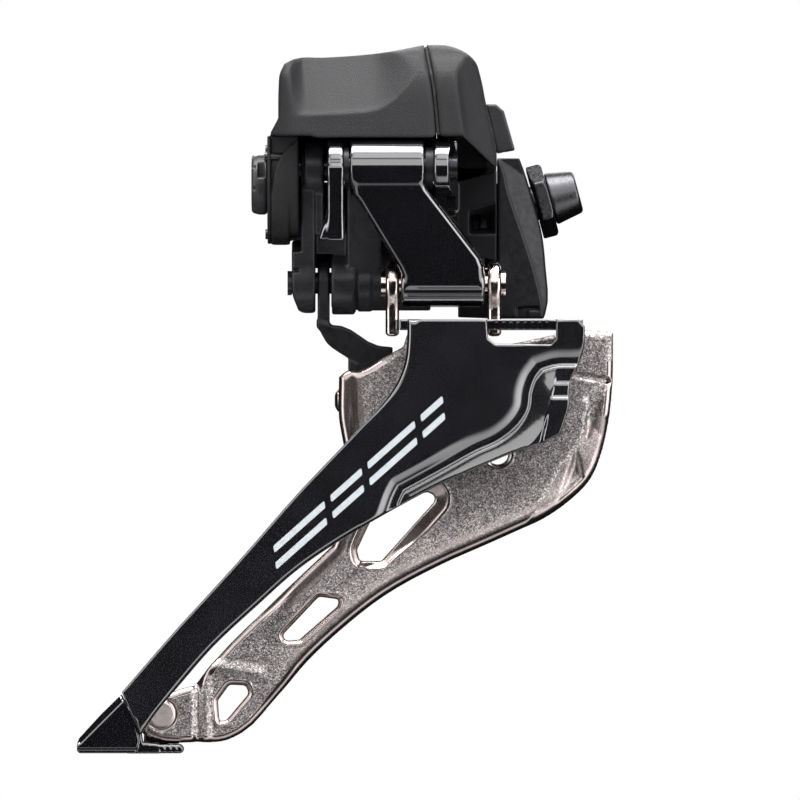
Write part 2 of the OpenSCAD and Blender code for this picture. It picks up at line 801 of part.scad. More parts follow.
module outer_lower_pin() {
    color([0.85, 0.8, 0.78])
    union() {
        rod_x([lug_l[0], lug_r[1]], outer_low, lower_pin_r);
        rod_x([lug_l[0] - pin_head_t, lug_l[0]], outer_low, pin_head_r);
        rod_x([lug_r[1], lug_r[1] + pin_head_t], outer_low, pin_head_r);
    }
}

module cage_bridge() {
    color([0.05, 0.05, 0.06])
    difference() {
        along_x([-18.55, 7.0])
            polygon([[outer_plate_y + plate_t, bridge_top], [inner_plate_y, bridge_top],
                     [inner_plate_y, bridge_low], [outer_plate_y + plate_t, bridge_low]]);
        translate([lug_r[0] - eps, outer_low[0] - lug_half_width - eps, -20])
            cube([lug_r[1] - lug_r[0] + 2 * eps, 2 * (lug_half_width + eps), 5]);
    }
}

module cage_outer_plate() {
    color([0.04, 0.04, 0.05])
    union() {
        along_y([outer_plate_y, outer_plate_y + plate_t])
            polygon(outer_plate_view);
        along_y([outer_plate_y - rib_t, outer_plate_y])
            polygon(outer_rib_view);
    }
}

module cage_inner_plate() {
    color([0.62, 0.56, 0.55])
    difference() {
        union() {
            along_y([inner_plate_y, inner_plate_y + plate_t])
                polygon(inner_plate_view);
            // folded flange at the rear that the arm is riveted to
            along_y([inner_plate_y, flange_back])
                polygon([[-27, -24.2], [-25.7, -23.4], [-25.7, -34], [-26.4, -34], [-27, -30]]);
        }
        along_y([-12, 0]) polygon(hole_1);
        along_y([-12, 0]) polygon(hole_2);
        along_y([-12, 0]) polygon(hole_3);
        rod_y([-12, 0], small_hole, 1.7);
        rod_y([-12, 0], tail_hole, rivet_r + eps);
        rod_x([-28, -25], flange_hole, rivet_r + eps);
    }
}

// Pressed steel arm from the inner link's lower pin to the inner plate
module cage_arm() {
    color([0.12, 0.12, 0.13])
    difference() {
        union() {
            along_x(leaf)
                union() {
                    translate(inner_low) circle(r = 3.2);
                    polygon([[inner_low[0] - 3.2, inner_low[1]], [inner_low[0] + 3.2, inner_low[1]],
                             [inner_low[0] + 2.4, -17.4], [-9, -17.4], [-9, -14]]);
                }
            along_y([inner_plate_y + plate_t, arm_foot_back])
                polygon([[-30, -17.4], [-30, -16.6], [-26.6, -17.1], [-21.8, -19.8], [-19.5, -20.1],
                         [-19.5, -26], [-25.68, -26], [-25.68, -21.8]]);
            along_y([inner_plate_y + plate_t, -3.6])
                polygon([[-25.68, -21.8], [-24.3, -22.4], [-24.3, -31.5], [-25.68, -31.5]]);
        }
        rod_x([-31, -27], inner_low, lower_pin_r + cage_arm_play);
        rod_x([-28, -23], flange_hole, rivet_r + eps);
    }
}

module arm_rivet() {
    color([0.55, 0.5, 0.45])
    union() {
        rod_x([-27, -23.7], flange_hole, rivet_r);
        rod_x([-27.6, -27], flange_hole, 1.6);
        rod_x([-24.3, -23.7], flange_hole, 1.4);
    }
}

// Hard block that joins the tails of both plates under the chain
module tail_bridge() {
    color([0.05, 0.05, 0.06])
    difference() {
        union() {
            along_y([outer_plate_y, inner_plate_y + plate_t])
                polygon([[-57.4, -68.4], [-63.2, -74], [-63.5, -76.4], [-63.2, -76.7], [-55.1, -76.7],
                         [-55.0, -74.8]]);
            along_y([outer_plate_y + plate_t, inner_plate_y])
                polygon([[-57.5, -68.6], [-56, -76.7], [-48.6, -76.7], [-48.6, -75.5], [-54.2, -75.2],
                         [-54.6, -73.4], [-55.6, -71]]);
            // skid under the inner plate, and the tab behind it that the rivet holds
            along_y([inner_plate_y - over, inner_plate_y + plate_t + 1.4])
                polygon([[-56, -76.7], [-48.6, -76.7], [-48.6, -75.5], [-54.2, -75.2], [-56, -75.2]]);
            along_y([inner_plate_y + plate_t, inner_plate_y + plate_t + 1.2])
                polygon([[-54.2, -76.2], [-54.2, -71], [-51.8, -69.2], [-49.4, -71], [-49.4, -76.2]]);
        }
        rod_y([-30, 0], tail_hole, rivet_r + eps);
    }
}

module tail_rivet() {
    color([0.6, 0.56, 0.54])
    union() {
        rod_y([inner_plate_y, inner_plate_y + plate_t + 1.2], tail_hole, rivet_r);
        rod_y([inner_plate_y - 0.6, inner_plate_y], tail_hole, 1.8);
        rod_y([inner_plate_y + plate_t + 1.2, inner_plate_y + plate_t + 1.8], tail_hole, 1.5);
    }
}

housing_main();
housing_cover();
housing_gasket();
cover_screws();
rear_block();
gear_case();
gear_case_lid();
case_screws();
wire_port();
port_pins();
shaft_seal();
circuit_board();
motor_can();
motor_bearing();
motor_pinion();
idler_axle();
idler_gear();
sector_gear();
base_frame();
base_bushes();
outer_upper_shaft();
thrust_washers();
mount_bracket();
bracket_screws();
radius_washer();
fixing_bolt();
support_bolt();
outer_link();
outer_link_bushes();
inner_link();
inner_upper_shaft();
inner_lower_pin();
lug_left();
lug_right();
outer_lower_pin();
cage_bridge();
cage_outer_plate();
cage_inner_plate();
cage_arm();
arm_rivet();
tail_bridge();
tail_rivet();
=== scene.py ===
import math

import bpy
import numpy as np
import openvdb
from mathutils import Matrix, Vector


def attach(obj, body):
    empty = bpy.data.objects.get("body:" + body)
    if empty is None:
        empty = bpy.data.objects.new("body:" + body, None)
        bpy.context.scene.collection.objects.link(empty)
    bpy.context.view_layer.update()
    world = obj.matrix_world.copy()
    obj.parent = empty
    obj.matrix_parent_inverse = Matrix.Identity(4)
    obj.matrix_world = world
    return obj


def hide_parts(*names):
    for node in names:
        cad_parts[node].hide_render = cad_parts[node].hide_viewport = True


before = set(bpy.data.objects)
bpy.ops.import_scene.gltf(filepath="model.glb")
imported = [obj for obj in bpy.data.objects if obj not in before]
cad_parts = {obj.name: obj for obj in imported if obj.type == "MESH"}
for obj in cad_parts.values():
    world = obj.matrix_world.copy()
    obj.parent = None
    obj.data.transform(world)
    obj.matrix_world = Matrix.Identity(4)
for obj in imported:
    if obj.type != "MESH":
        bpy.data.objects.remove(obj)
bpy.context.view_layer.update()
MM = 0.001

# places of the CAD frame, in mm: (y, z) of axes along X, then (x, z) of axes along Y
OUTER_PIVOT = (-19.5, 4.9)
INNER_PIVOT = (-10, 5.1)
LINK = 16.77
OUTER_LOW_PIN = (-15.16, -11.3)
INNER_LOW_PIN = (-5.659, -11.1)
IDLER = (0.806, 1.167)
PORT = (9.9, 2.85)
ARM_RIVET = (-6, -27.5)
COVER_SCREWS = (((-14.5, 12.2), -6.7), ((10.4, 12.2), -6.7), ((-6, 18.9), -8.9))    # with x of the face
CASE_SCREWS = ((-14.25, 6.5), (6.4, -4.2), (5.6, 7.6))
BRACKET_SCREWS = ((5.5, -3.2), (5.5, 1.6))
TAIL_RIVET = (-51.8, -71.3)
# y of the foremost planes, and the tilts of the fixing bolt and of the links
HOUSING_FRONT = -21.2
PLATE_FRONT = -22.6
BOLT_TILT = math.radians(15)
LEAN = math.radians(15)


# ---------------------------------------------------------------- shapes
# Each piece is a distance field in millimetres, negative inside, on a grid of points.

class Grid:
    def __init__(self, lo, hi, step):
        self.step = step
        self.lo = np.array(lo, float) - 2.5 * step
        n = np.ceil((np.array(hi, float) - np.array(lo, float)) / step).astype(int) + 6
        self.n = tuple(int(v) for v in n)
        self.x = (self.lo[0] + step * np.arange(n[0])).reshape(-1, 1, 1)
        self.y = (self.lo[1] + step * np.arange(n[1])).reshape(1, -1, 1)
        self.z = (self.lo[2] + step * np.arange(n[2])).reshape(1, 1, -1)


def space(lo, hi, step):
    g = Grid(lo, hi, step)
    return g, g.x, g.y, g.z


def smooth(points, sharp=24.0, cuts=4, closed=True):
    """A smooth line through the points. It keeps a corner where it turns by more than sharp degrees."""
    p = np.array(points, float)
    n = len(p)
    b = np.roll(p, -1, 0) - p
    a = p - np.roll(p, 1, 0)
    if not closed:
        a[0], b[-1] = b[0], a[-1]
    la, lb = np.hypot(a[:, 0], a[:, 1]), np.hypot(b[:, 0], b[:, 1])
    turn = np.degrees(np.abs(np.arctan2(a[:, 0] * b[:, 1] - a[:, 1] * b[:, 0], (a * b).sum(1))))
    tangent = (a / la[:, None] * lb[:, None] + b / lb[:, None] * la[:, None]) / (la + lb)[:, None]
    out = []
    for i in range(n if closed else n - 1):
        j = (i + 1) % n
        straight = b[i] / lb[i]
        t0 = straight if turn[i] > sharp else tangent[i]
        t1 = straight if turn[j] > sharp else tangent[j]
        pull = 1 if max(turn[i], turn[j]) < sharp else 0.8
        for k in range(cuts):
            s = k / cuts
            out.append((2 * s**3 - 3 * s**2 + 1) * p[i] + (s**3 - 2 * s**2 + s) * pull * lb[i] * t0
                       + (3 * s**2 - 2 * s**3) * p[j] + (s**3 - s**2) * pull * lb[i] * t1)
    if not closed:
        out.append(p[-1])
    return np.array(out)


def rounded(points, r):
    """The same closed outline with its corners turned to radius r, as far as its sides allow."""
    p = np.array(points, float)
    out = []
    for before, at, after in zip(np.roll(p, 1, 0), p, np.roll(p, -1, 0)):
        la, lb = np.linalg.norm(before - at), np.linalg.norm(after - at)
        a, b = (before - at) / la, (after - at) / lb
        half = math.acos(max(-1, min(1, float(a @ b)))) / 2
        t = min(r / math.tan(half), 0.48 * la, 0.48 * lb)
        for k in range(6):
            w = k / 5
            out.append(at + (1 - w) ** 2 * t * a + w * w * t * b)
    return np.array(out)


def area(u, v, points):
    """Signed distance to a closed outline."""
    shape = np.broadcast(u, v).shape
    near, sign = np.full(shape, 1e9), np.ones(shape)
    for (ax, ay), (bx, by) in zip(points, np.roll(points, -1, 0)):
        ex, ey = bx - ax, by - ay
        long = ex * ex + ey * ey
        if long < 1e-12:
            continue
        wx, wy = u - ax, v - ay
        t = np.clip((wx * ex + wy * ey) / long, 0, 1)
        near = np.minimum(near, (wx - ex * t) ** 2 + (wy - ey * t) ** 2)
        over, under, left = v >= ay, v < by, ex * wy > ey * wx
        sign = np.where((over & under & left) | (~over & ~under & ~left), -sign, sign)
    return sign * np.sqrt(near)


def line(u, v, points):
    """Distance to an open line."""
    near = np.full(np.broadcast(u, v).shape, 1e9)
    for (ax, ay), (bx, by) in zip(points[:-1], points[1:]):
        ex, ey = bx - ax, by - ay
        wx, wy = u - ax, v - ay
        t = np.clip((wx * ex + wy * ey) / (ex * ex + ey * ey), 0, 1)
        near = np.minimum(near, (wx - ex * t) ** 2 + (wy - ey * t) ** 2)
    return np.sqrt(near)


def both(a, b, r=0.0):
    """Where a and b overlap, with the edge rounded to radius r."""
    if np.max(r) == 0:
        return np.maximum(a, b)
    return np.minimum(np.maximum(a, b), -r) + np.hypot(np.maximum(a + r, 0), np.maximum(b + r, 0))


def either(a, b, r=0.0):
    return -both(-a, -b, r)


def cut(a, b, r=0.0):
    return both(a, -b, r)


def slab(w, lo, hi):
    return np.abs(w - (lo + hi) / 2) - (hi - lo) / 2


def disc(u, v, centre, r):
    return np.hypot(u - centre[0], v - centre[1]) - r


def hexagon(u, v, half):
    turns = (0, math.pi / 3, 2 * math.pi / 3)
    return np.maximum.reduce([np.abs(u * math.cos(a) + v * math.sin(a)) for a in turns]) - half


def drill(body, u, v, w, at, r, lo, hi, edge=0.0):
    """A hole of radius r at a place in u and v, from lo to hi along w."""
    return cut(body, both(disc(u, v, at, r), slab(w, lo, hi)), edge)


def ramp(t, a, b):
    """0 before a, 1 after b, smooth between."""
    s = np.clip((t - a) / (b - a), 0, 1)
    return s * s * (3 - 2 * s)


def hump(t, centre, half):
    """A smooth bump of height 1 that is half wide on each side."""
    s = np.clip(1 - np.abs(t - centre) / half, 0, 1)
    return s * s * (3 - 2 * s)


def sample(f, p):
    i = np.clip(np.floor(p).astype(int), 0, np.array(f.shape) - 2)
    w = p - i
    out = 0
    for a in (0, 1):
        for b in (0, 1):
            for c in (0, 1):
                k = (np.where(a, w[:, 0], 1 - w[:, 0]) * np.where(b, w[:, 1], 1 - w[:, 1])
                     * np.where(c, w[:, 2], 1 - w[:, 2]))
                out = out + k * f[i[:, 0] + a, i[:, 1] + b, i[:, 2] + c]
    return out


def piece(name, grid, field, nodes, body, material, masks=None):
    """Meshes a field, and puts the piece in the place of the CAD nodes. Masks become attributes of its points."""
    f = np.ascontiguousarray(np.broadcast_to(field, grid.n), np.float32) / grid.step
    f = np.clip(f, -4, 4)
    for axis in range(3):
        edge = [slice(None)] * 3
        for end in (0, -1):
            edge[axis] = end
            f[tuple(edge)] = np.maximum(f[tuple(edge)], 1)
    volume = openvdb.FloatGrid(background=4.0)
    volume.copyFromArray(f)
    points, quads = volume.convertToQuads(0.0)
    points = points.astype(float)
    slope = np.gradient(f)
    for _ in range(3):
        g = np.stack([sample(s, points) for s in slope], 1)
        size = np.maximum((g * g).sum(1), 0.05)
        move = (sample(f, points) / size)[:, None] * g
        points -= np.clip(move, -0.3, 0.3)
    g = np.stack([sample(s, points) for s in slope], 1)
    normals = g / np.maximum(np.linalg.norm(g, axis=1), 1e-9)[:, None]
    quads = quads.astype(np.int64)
    a, b, c = points[quads[:, 0]], points[quads[:, 1]], points[quads[:, 2]]
    if (np.cross(b - a, c - a) * normals[quads[:, 0]]).sum() < 0:
        quads = quads[:, ::-1]
    mesh = bpy.data.meshes.new(name)
    mesh.vertices.add(len(points))
    mesh.vertices.foreach_set("co", ((points * grid.step + grid.lo) * MM).astype(np.float32).ravel())
    mesh.loops.add(quads.size)
    mesh.loops.foreach_set("vertex_index", quads.astype(np.int32).ravel())
    mesh.polygons.add(len(quads))
    mesh.polygons.foreach_set("loop_start", np.arange(0, quads.size, 4, dtype=np.int32))
    mesh.update(calc_edges=True)
    mesh.polygons.foreach_set("use_smooth", np.ones(len(mesh.polygons), bool))
    mesh.normals_split_custom_set_from_vertices(normals.tolist())
    for key, mask in (masks or {}).items():
        values = sample(np.broadcast_to(mask, grid.n), points)
        mesh.attributes.new(key, "FLOAT", "POINT").data.foreach_set("value", values.astype(np.float32))
    mesh.update()
    return place(mesh, name, nodes, body, material)


def place(mesh, name, nodes, body, material):
    obj = bpy.data.objects.new(name, mesh)
    bpy.context.scene.collection.objects.link(obj)
    mesh.materials.append(material)
    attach(obj, body)
    if nodes:
        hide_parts(*nodes)
    return obj


# ---------------------------------------------------------------- materials

class Tree:
    """Short names for building the nodes of a material or a world."""
    def __init__(self, owner):
        owner.use_nodes = True
        self.tree = owner.node_tree
        self.tree.nodes.clear()

    def add(self, kind, **values):
        n = self.tree.nodes.new(kind)
        for k, v in values.items():
            setattr(n, k, v)
        return n

    def link(self, a, b):
        self.tree.links.new(a, b)

    def spread(self, value, lo, hi, a=0.3, b=0.7, **values):
        """Maps a to lo and b to hi."""
        n = self.add("ShaderNodeMapRange", **values)
        self.link(value, n.inputs["Value"])
        for k, v in (("From Min", a), ("From Max", b), ("To Min", lo), ("To Max", hi)):
            n.inputs[k].default_value = v
        return n.outputs["Result"]

    def maths(self, op, a, b):
        n = self.add("ShaderNodeMath", operation=op)
        for v, socket in ((a, n.inputs[0]), (b, n.inputs[1])):
            if isinstance(v, (int, float)):
                socket.default_value = v
            else:
                self.link(v, socket)
        return n.outputs[0]


class Nodes(Tree):
    """A material with its shader and its coordinates in place."""
    def __init__(self, name):
        self.mat = bpy.data.materials.new(name)
        super().__init__(self.mat)
        self.shader = self.add("ShaderNodeBsdfPrincipled")
        out = self.add("ShaderNodeOutputMaterial")
        self.link(self.shader.outputs[0], out.inputs[0])
        self.at = self.add("ShaderNodeTexCoord").outputs["Object"]

    def noise(self, size_mm, detail=2.0, rough=0.5, at=None):
        n = self.add("ShaderNodeTexNoise")
        self.link(at or self.at, n.inputs["Vector"])
        n.inputs["Scale"].default_value = 1 / (size_mm * MM)
        n.inputs["Detail"].default_value = detail
        n.inputs["Roughness"].default_value = rough
        return n.outputs["Fac"]

    def cells(self, size_mm, feature="F1"):
        n = self.add("ShaderNodeTexVoronoi", feature=feature)
        self.link(self.at, n.inputs["Vector"])
        n.inputs["Scale"].default_value = 1 / (size_mm * MM)
        return n

    def colours(self, value, stops):
        n = self.add("ShaderNodeValToRGB")
        self.link(value, n.inputs["Fac"])
        ramp_ = n.color_ramp
        while len(ramp_.elements) < len(stops):
            ramp_.elements.new(0.5)
        for e, (t, c) in zip(ramp_.elements, stops):
            e.position = t
            e.color = (*c, 1)
        return n.outputs["Color"]

    def tones(self, value, dark, light):
        return self.colours(value, [(0.3, dark), (0.7, light)])

    def mask(self, key):
        return self.add("ShaderNodeAttribute", attribute_name=key).outputs["Fac"]

    def mix(self, fac, a, b):
        n = self.add("ShaderNodeMix", data_type="RGBA")
        self.link(fac, n.inputs["Factor"])
        for v, s in ((a, n.inputs[6]), (b, n.inputs[7])):
            if isinstance(v, tuple):
                s.default_value = (*v, 1)
            else:
                self.link(v, s)
        return n.outputs[2]

    def bump(self, height, depth_mm, strength=1.0, after=None):
        n = self.add("ShaderNodeBump")
        self.link(height, n.inputs["Height"])
        n.inputs["Distance"].default_value = depth_mm * MM
        n.inputs["Strength"].default_value = strength
        if after is not None:
            self.link(after, n.inputs["Normal"])
        return n.outputs["Normal"]

    def set(self, **values):
        for k, v in values.items():
            s = self.shader.inputs[k.replace("_", " ")]
            if isinstance(v, (int, float)):
                s.default_value = v
            elif isinstance(v, tuple):
                s.default_value = (*v, 1)
            else:
                self.link(v, s)
        return self


def shades(colour, spread):
    return tuple(c * (1 - spread) for c in colour), tuple(min(1, c * (1 + spread)) for c in colour)


def plastic(name, colour, rough=0.45, grain=0.22, depth=0.02, spec=0.5):
    """Moulded plastic: fine spark-eroded grain, slight blotches."""
    n = Nodes(name)
    dark, light = shades(colour, 0.12)
    fine, wide = n.noise(grain, 3), n.noise(4.0, 3)
    n.set(Base_Color=n.tones(wide, dark, light),
          Roughness=n.spread(n.noise(grain * 2, 2), rough - 0.07, rough + 0.09),
          Normal=n.bump(fine, depth), Specular_IOR_Level=spec)
    return n.mat


def lacquer(n, **values):
    """A strong coat with a trace of orange peel."""
    n.set(Normal=n.bump(n.noise(1.6, 2), 0.0012), Coat_IOR=1.95, **values)
    return n.mat


def gloss(name, dull=False):
    """Polished lacquer over dark metal, with handling haze."""
    n = Nodes(name)
    hazy, spec, coat = n.spread(n.noise(2.2, 4), 0.06, 0.14), 0.8, 1.0
    if dull:
        # the satin part of the piece is marked on its points
        satin = n.mask("satin")
        hazy = n.maths("ADD", hazy, n.maths("MULTIPLY", satin, 0.38))
        coat = n.maths("SUBTRACT", 1.0, satin)
        spec = n.maths("SUBTRACT", spec, n.maths("MULTIPLY", satin, 0.62))
    return lacquer(n, Base_Color=n.tones(n.noise(6.0, 2), *shades((0.003, 0.003, 0.0042), 0.25)),
                   Roughness=hazy, Specular_IOR_Level=spec, Coat_Weight=coat, Coat_Roughness=0.05)


def striped(name):
    """The same lacquer with pale printed stripes, read from the piece's own attribute."""
    n = Nodes(name)
    ink = n.spread(n.mask("stripes"), 1, 0, -0.03, 0.03)
    worn = n.maths("MULTIPLY", ink, n.spread(n.noise(0.5, 3), 0.86, 1.0))
    black = n.tones(n.noise(6.0, 2), (0.0045, 0.0045, 0.0056), (0.0075, 0.0075, 0.0094))
    return lacquer(n, Base_Color=n.mix(worn, black, (0.46, 0.49, 0.51)),
                   Roughness=n.spread(n.noise(2.2, 4), 0.1, 0.18), Specular_IOR_Level=0.8,
                   Coat_Weight=1.0, Coat_Roughness=0.08)


def metal(name, colour, rough=0.3, grain=0.3, depth=0.01, spread=0.12, metallic=1.0, rings=None):
    """Bare or plated metal with fine tooling marks and roughness variation."""
    n = Nodes(name)
    dark, light = shades(colour, spread)
    at = n.at
    if rings:
        squash = n.add("ShaderNodeMapping")
        n.link(n.at, squash.inputs["Vector"])
        squash.inputs["Scale"].default_value = rings
        at = squash.outputs[0]
    marks = n.noise(grain, 4, at=at)
    n.set(Base_Color=n.tones(n.noise(grain * 5, 3), dark, light),
          Metallic=metallic, Roughness=n.spread(marks, rough - 0.08, rough + 0.1),
          Normal=n.bump(marks, depth))
    return n.mat


def blasted(name):
    """Bead-blasted champagne anodising with tiny dimples whose glints are painted into the colour one by one
    (painted highlights and painted dark specks), and smooth turned rims.
    """
    n = Nodes(name)
    rim = n.spread(n.mask("rim"), 0, 1, 0.35, 0.65)
    cell = n.cells(0.15)
    split = n.add("ShaderNodeSeparateColor")
    n.link(cell.outputs["Color"], split.inputs[0])
    # painted glints: each dimple's colour runs from near black to near white, a painted highlight or a painted
    # dark speck in place of the light it catches
    painted_glints = n.colours(split.outputs[0], [(0.0, (0.1, 0.09, 0.09)), (0.45, (0.34, 0.31, 0.305)),
                                         (0.8, (0.6, 0.56, 0.55)), (1.0, (0.95, 0.92, 0.9))])
    smooth_ = n.tones(n.noise(2.0, 3), (0.4, 0.34, 0.325), (0.47, 0.405, 0.39))
    blotch = n.tones(n.noise(5.0, 3), (0.86, 0.84, 0.84), (1, 1, 1))
    mul = n.add("ShaderNodeMix", data_type="RGBA", blend_type="MULTIPLY")
    mul.inputs["Factor"].default_value = 1
    n.link(n.mix(rim, painted_glints, smooth_), mul.inputs[6])
    n.link(blotch, mul.inputs[7])
    flat = n.maths("SUBTRACT", 1.0, n.maths("MULTIPLY", rim, 0.985))
    rough = n.maths("ADD", 0.24, n.maths("MULTIPLY", n.spread(split.outputs[1], 0.1, 0.34, 0, 1), flat))
    dimple = n.bump(n.maths("MULTIPLY", n.noise(0.18, 3, 0.6), flat), 0.035)
    n.set(Base_Color=mul.outputs[2], Metallic=1.0, Roughness=rough,
          Normal=n.bump(n.maths("MULTIPLY", cell.outputs["Distance"], flat), 0.02, after=dimple))
    return n.mat


shell_plastic = plastic("shell_plastic", (0.01, 0.01, 0.0113), 0.44, 0.13, 0.13, 0.38)
cover_plastic = plastic("cover_plastic", (0.008, 0.008, 0.009), 0.44, 0.13, 0.1, 0.38)
socket_plastic = plastic("socket_plastic", (0.02, 0.02, 0.022), 0.4, 0.3, 0.01)
black_rubber = plastic("black_rubber", (0.012, 0.012, 0.012), 0.62, 0.15, 0.02, 0.3)
gloss_black = gloss("gloss_black")
base_black = gloss("base_black", dull=True)
striped_gloss = striped("striped_gloss")
satin_black = plastic("satin_black", (0.006, 0.006, 0.008), 0.36, 0.4, 0.008, 0.28)
black_steel = metal("black_steel", (0.03, 0.03, 0.034), 0.34, 0.3, 0.012, 0.2, 0.6)
gunmetal = metal("gunmetal", (0.085, 0.085, 0.09), 0.34, 0.4, 0.0008, 0.08, 1.0)
dark_steel = metal("dark_steel", (0.035, 0.035, 0.04), 0.3, 0.3, 0.008, 0.18, 0.9)
bright_steel = metal("bright_steel", (0.62, 0.62, 0.63), 0.2, 0.3, 0.006, 0.1, 1.0, rings=(6, 1, 1))
polished_nickel = metal("polished_nickel", (0.6, 0.51, 0.48), 0.12, 1.1, 0.05, 0.08)
blasted_aluminium = blasted("blasted_aluminium")
rivet_steel = metal("rivet_steel", (0.66, 0.6, 0.58), 0.5, 0.3, 0.03, 0.1)
bronze = metal("bronze", (0.45, 0.3, 0.15), 0.35, 0.25, 0.012, 0.2)
gear_brass = metal("gear_brass", (0.62, 0.48, 0.25), 0.3, 0.25, 0.01, 0.15)
motor_steel = metal("motor_steel", (0.5, 0.5, 0.52), 0.28, 0.4, 0.008, 0.1, 1.0, rings=(8, 1, 1))
gold_contact = metal("gold_contact", (0.9, 0.66, 0.3), 0.18, 0.2, 0.004, 0.06)


def board(name):
    """Solder mask with copper lanes under it."""
    n = Nodes(name)
    lanes = n.maths("PINGPONG", n.maths("MULTIPLY", n.noise(3.0, 0), 14.0), 1.0)
    n.set(Base_Color=n.colours(lanes, [(0.4, (0.008, 0.06, 0.03)), (0.6, (0.02, 0.14, 0.06))]),
          Roughness=n.spread(n.noise(0.6, 2), 0.25, 0.4), Normal=n.bump(lanes, 0.03))
    return n.mat


board_green = board("board_green")

for material, names in (
        (black_rubber, ("housing_gasket", "shaft_seal")),
        (bright_steel, ("idler_axle",)),
        (dark_steel, ("outer_upper_shaft", "inner_upper_shaft")),
        (satin_black, ("thrust_washers", "mount_bracket", "cage_arm")),
        (gunmetal, ("cover_screws", "case_screws", "bracket_screws", "support_bolt", "fixing_bolt",
                    "radius_washer")),
        (gold_contact, ("port_pins",)),
        (board_green, ("circuit_board",)),
        (motor_steel, ("motor_can", "motor_pinion")),
        (bronze, ("motor_bearing", "base_bushes", "outer_link_bushes")),
        (gear_brass, ("idler_gear", "sector_gear")),
        (polished_nickel, ("outer_lower_pin", "arm_rivet", "tail_rivet", "lug_left", "lug_right")),
        (black_steel, ("inner_lower_pin", "inner_link")),
        (socket_plastic, ("rear_block", "wire_port")),
        (shell_plastic, ("gear_case", "gear_case_lid")),
        (gloss_black, ("base_frame", "cage_bridge", "outer_link"))):
    for name in names:
        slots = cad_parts[name].data.materials
        if len(slots):
            for i in range(len(slots)):
                slots[i] = material
        else:
            slots.append(material)


# ---------------------------------------------------------------- cage

def outer_plate():
    g, x, y, z = space((-57.5, -23.7, -74.6), (7.4, -21.0, -16.1), 0.17)
    view = smooth([(-17.45, -16.2), (-6.4, -16.2), (-6.25, -18.8), (-5.2, -19.6), (2.5, -19.7),
                   (3.2, -19.0), (3.25, -16.2), (6.3, -16.15), (7.25, -17.2), (7.15, -20), (6.8, -21.4),
                   (5.7, -23.9), (5.2, -25.2), (5.0, -28.7), (3.8, -32.2), (1.4, -33.4), (-1.7, -34.4),
                   (-7, -36.6), (-12.25, -38.9), (-18.7, -42.3), (-23.8, -45.2), (-28.2, -47.9),
                   (-32.5, -50.9), (-38.5, -56.2), (-44.5, -61.8), (-49.3, -67.3), (-52.5, -71.1),
                   (-54.6, -74.2), (-57.2, -68.1), (-49.2, -58.9), (-45.9, -55.3), (-40.9, -49.8),
                   (-32.5, -40.2), (-24.6, -31.9), (-20.9, -27.9), (-18.8, -24.8), (-17.85, -22.3),
                   (-17.5, -19.3)])
    edge = smooth([(9, -20.9), (6.4, -21.4), (2.7, -21.6), (0.5, -22.3), (-0.7, -23.9), (-1.5, -26.2),
                   (-1.8, -28.4), (-2.9, -30.2), (-5, -32), (-8.4, -33.6), (-12.9, -36.1),
                   (-18.8, -39.3), (-19.3, -40.2), (-20.6, -43.6), (-24, -50)], closed=False)
    raised = area(x, z, np.vstack([edge, [(-80, -95), (-80, -5), (20, -5), (20, -20.9)]]))
    s = -raised
    # distance of the skin from the plate's front plane: face, ridge, groove and flared strip
    right = x - (1.2 + (z + 33.3) * 0.224)
    steps = ramp(-z, 24.9, 25.3) * 0.28 + ramp(-z, 26.9, 27.3) * 0.3 - ramp(-z, 27.6, 31.5) * 0.58
    past = np.clip(-s - 1.2, 0, 3)
    strip = (0.05 + 0.045 * past) * past * (1 - ramp(right, -0.2, 0.2)) + steps * ramp(right, -0.2, 0.2)
    soft = 2.2 + 1.6 * ramp(x, -16, -6)
    face = 0.74 - 0.9 * np.clip(1 - s / soft, 0, 1) ** 2
    skin = strip * (1 - ramp(s, -1.35, -1.05)) - 0.35 * (ramp(s, -1.35, -1.05) - ramp(s, -0.75, 0.1)) \
        + face * ramp(s, -0.75, 0.1)
    front = (PLATE_FRONT - skin) - y
    upper = ramp(0.66 * (z + 45.5) - 0.75 * (x + 32.5), -0.5, 0.5)
    corner = ramp(z, -31, -25) * (1 - ramp(x, -16.4, -15.6))
    rim = upper * (0.2 + 0.55 * corner) + (1 - upper) * (0.25 + 0.65 * ramp(s, 0, 3) * (1 - ramp(z, -32, -28)))
    field = both(area(x, z, view), both(front, y + 21.1, 0.25), rim)
    # a plain pair of broken stripes along the arm
    along, over = 0.747 * (x + 35.9) + 0.665 * (z + 49.4), 0.665 * (x + 35.9) - 0.747 * (z + 49.4)
    slant = along + 0.7 * over
    dashes = np.minimum.reduce([slab(slant, a, b)
                                for a, b in ((0, 9.5), (10.6, 16.4), (17.5, 26.3), (27.4, 31.5))])
    stripes = np.maximum(dashes, np.minimum(np.abs(over - 0.95), np.abs(over + 0.95)) - 0.42)
    stripes = np.maximum(stripes, y + 22)
    piece("cage_outer_plate_body", g, field, ["cage_outer_plate"], "cage", striped_gloss,
          {"stripes": stripes})


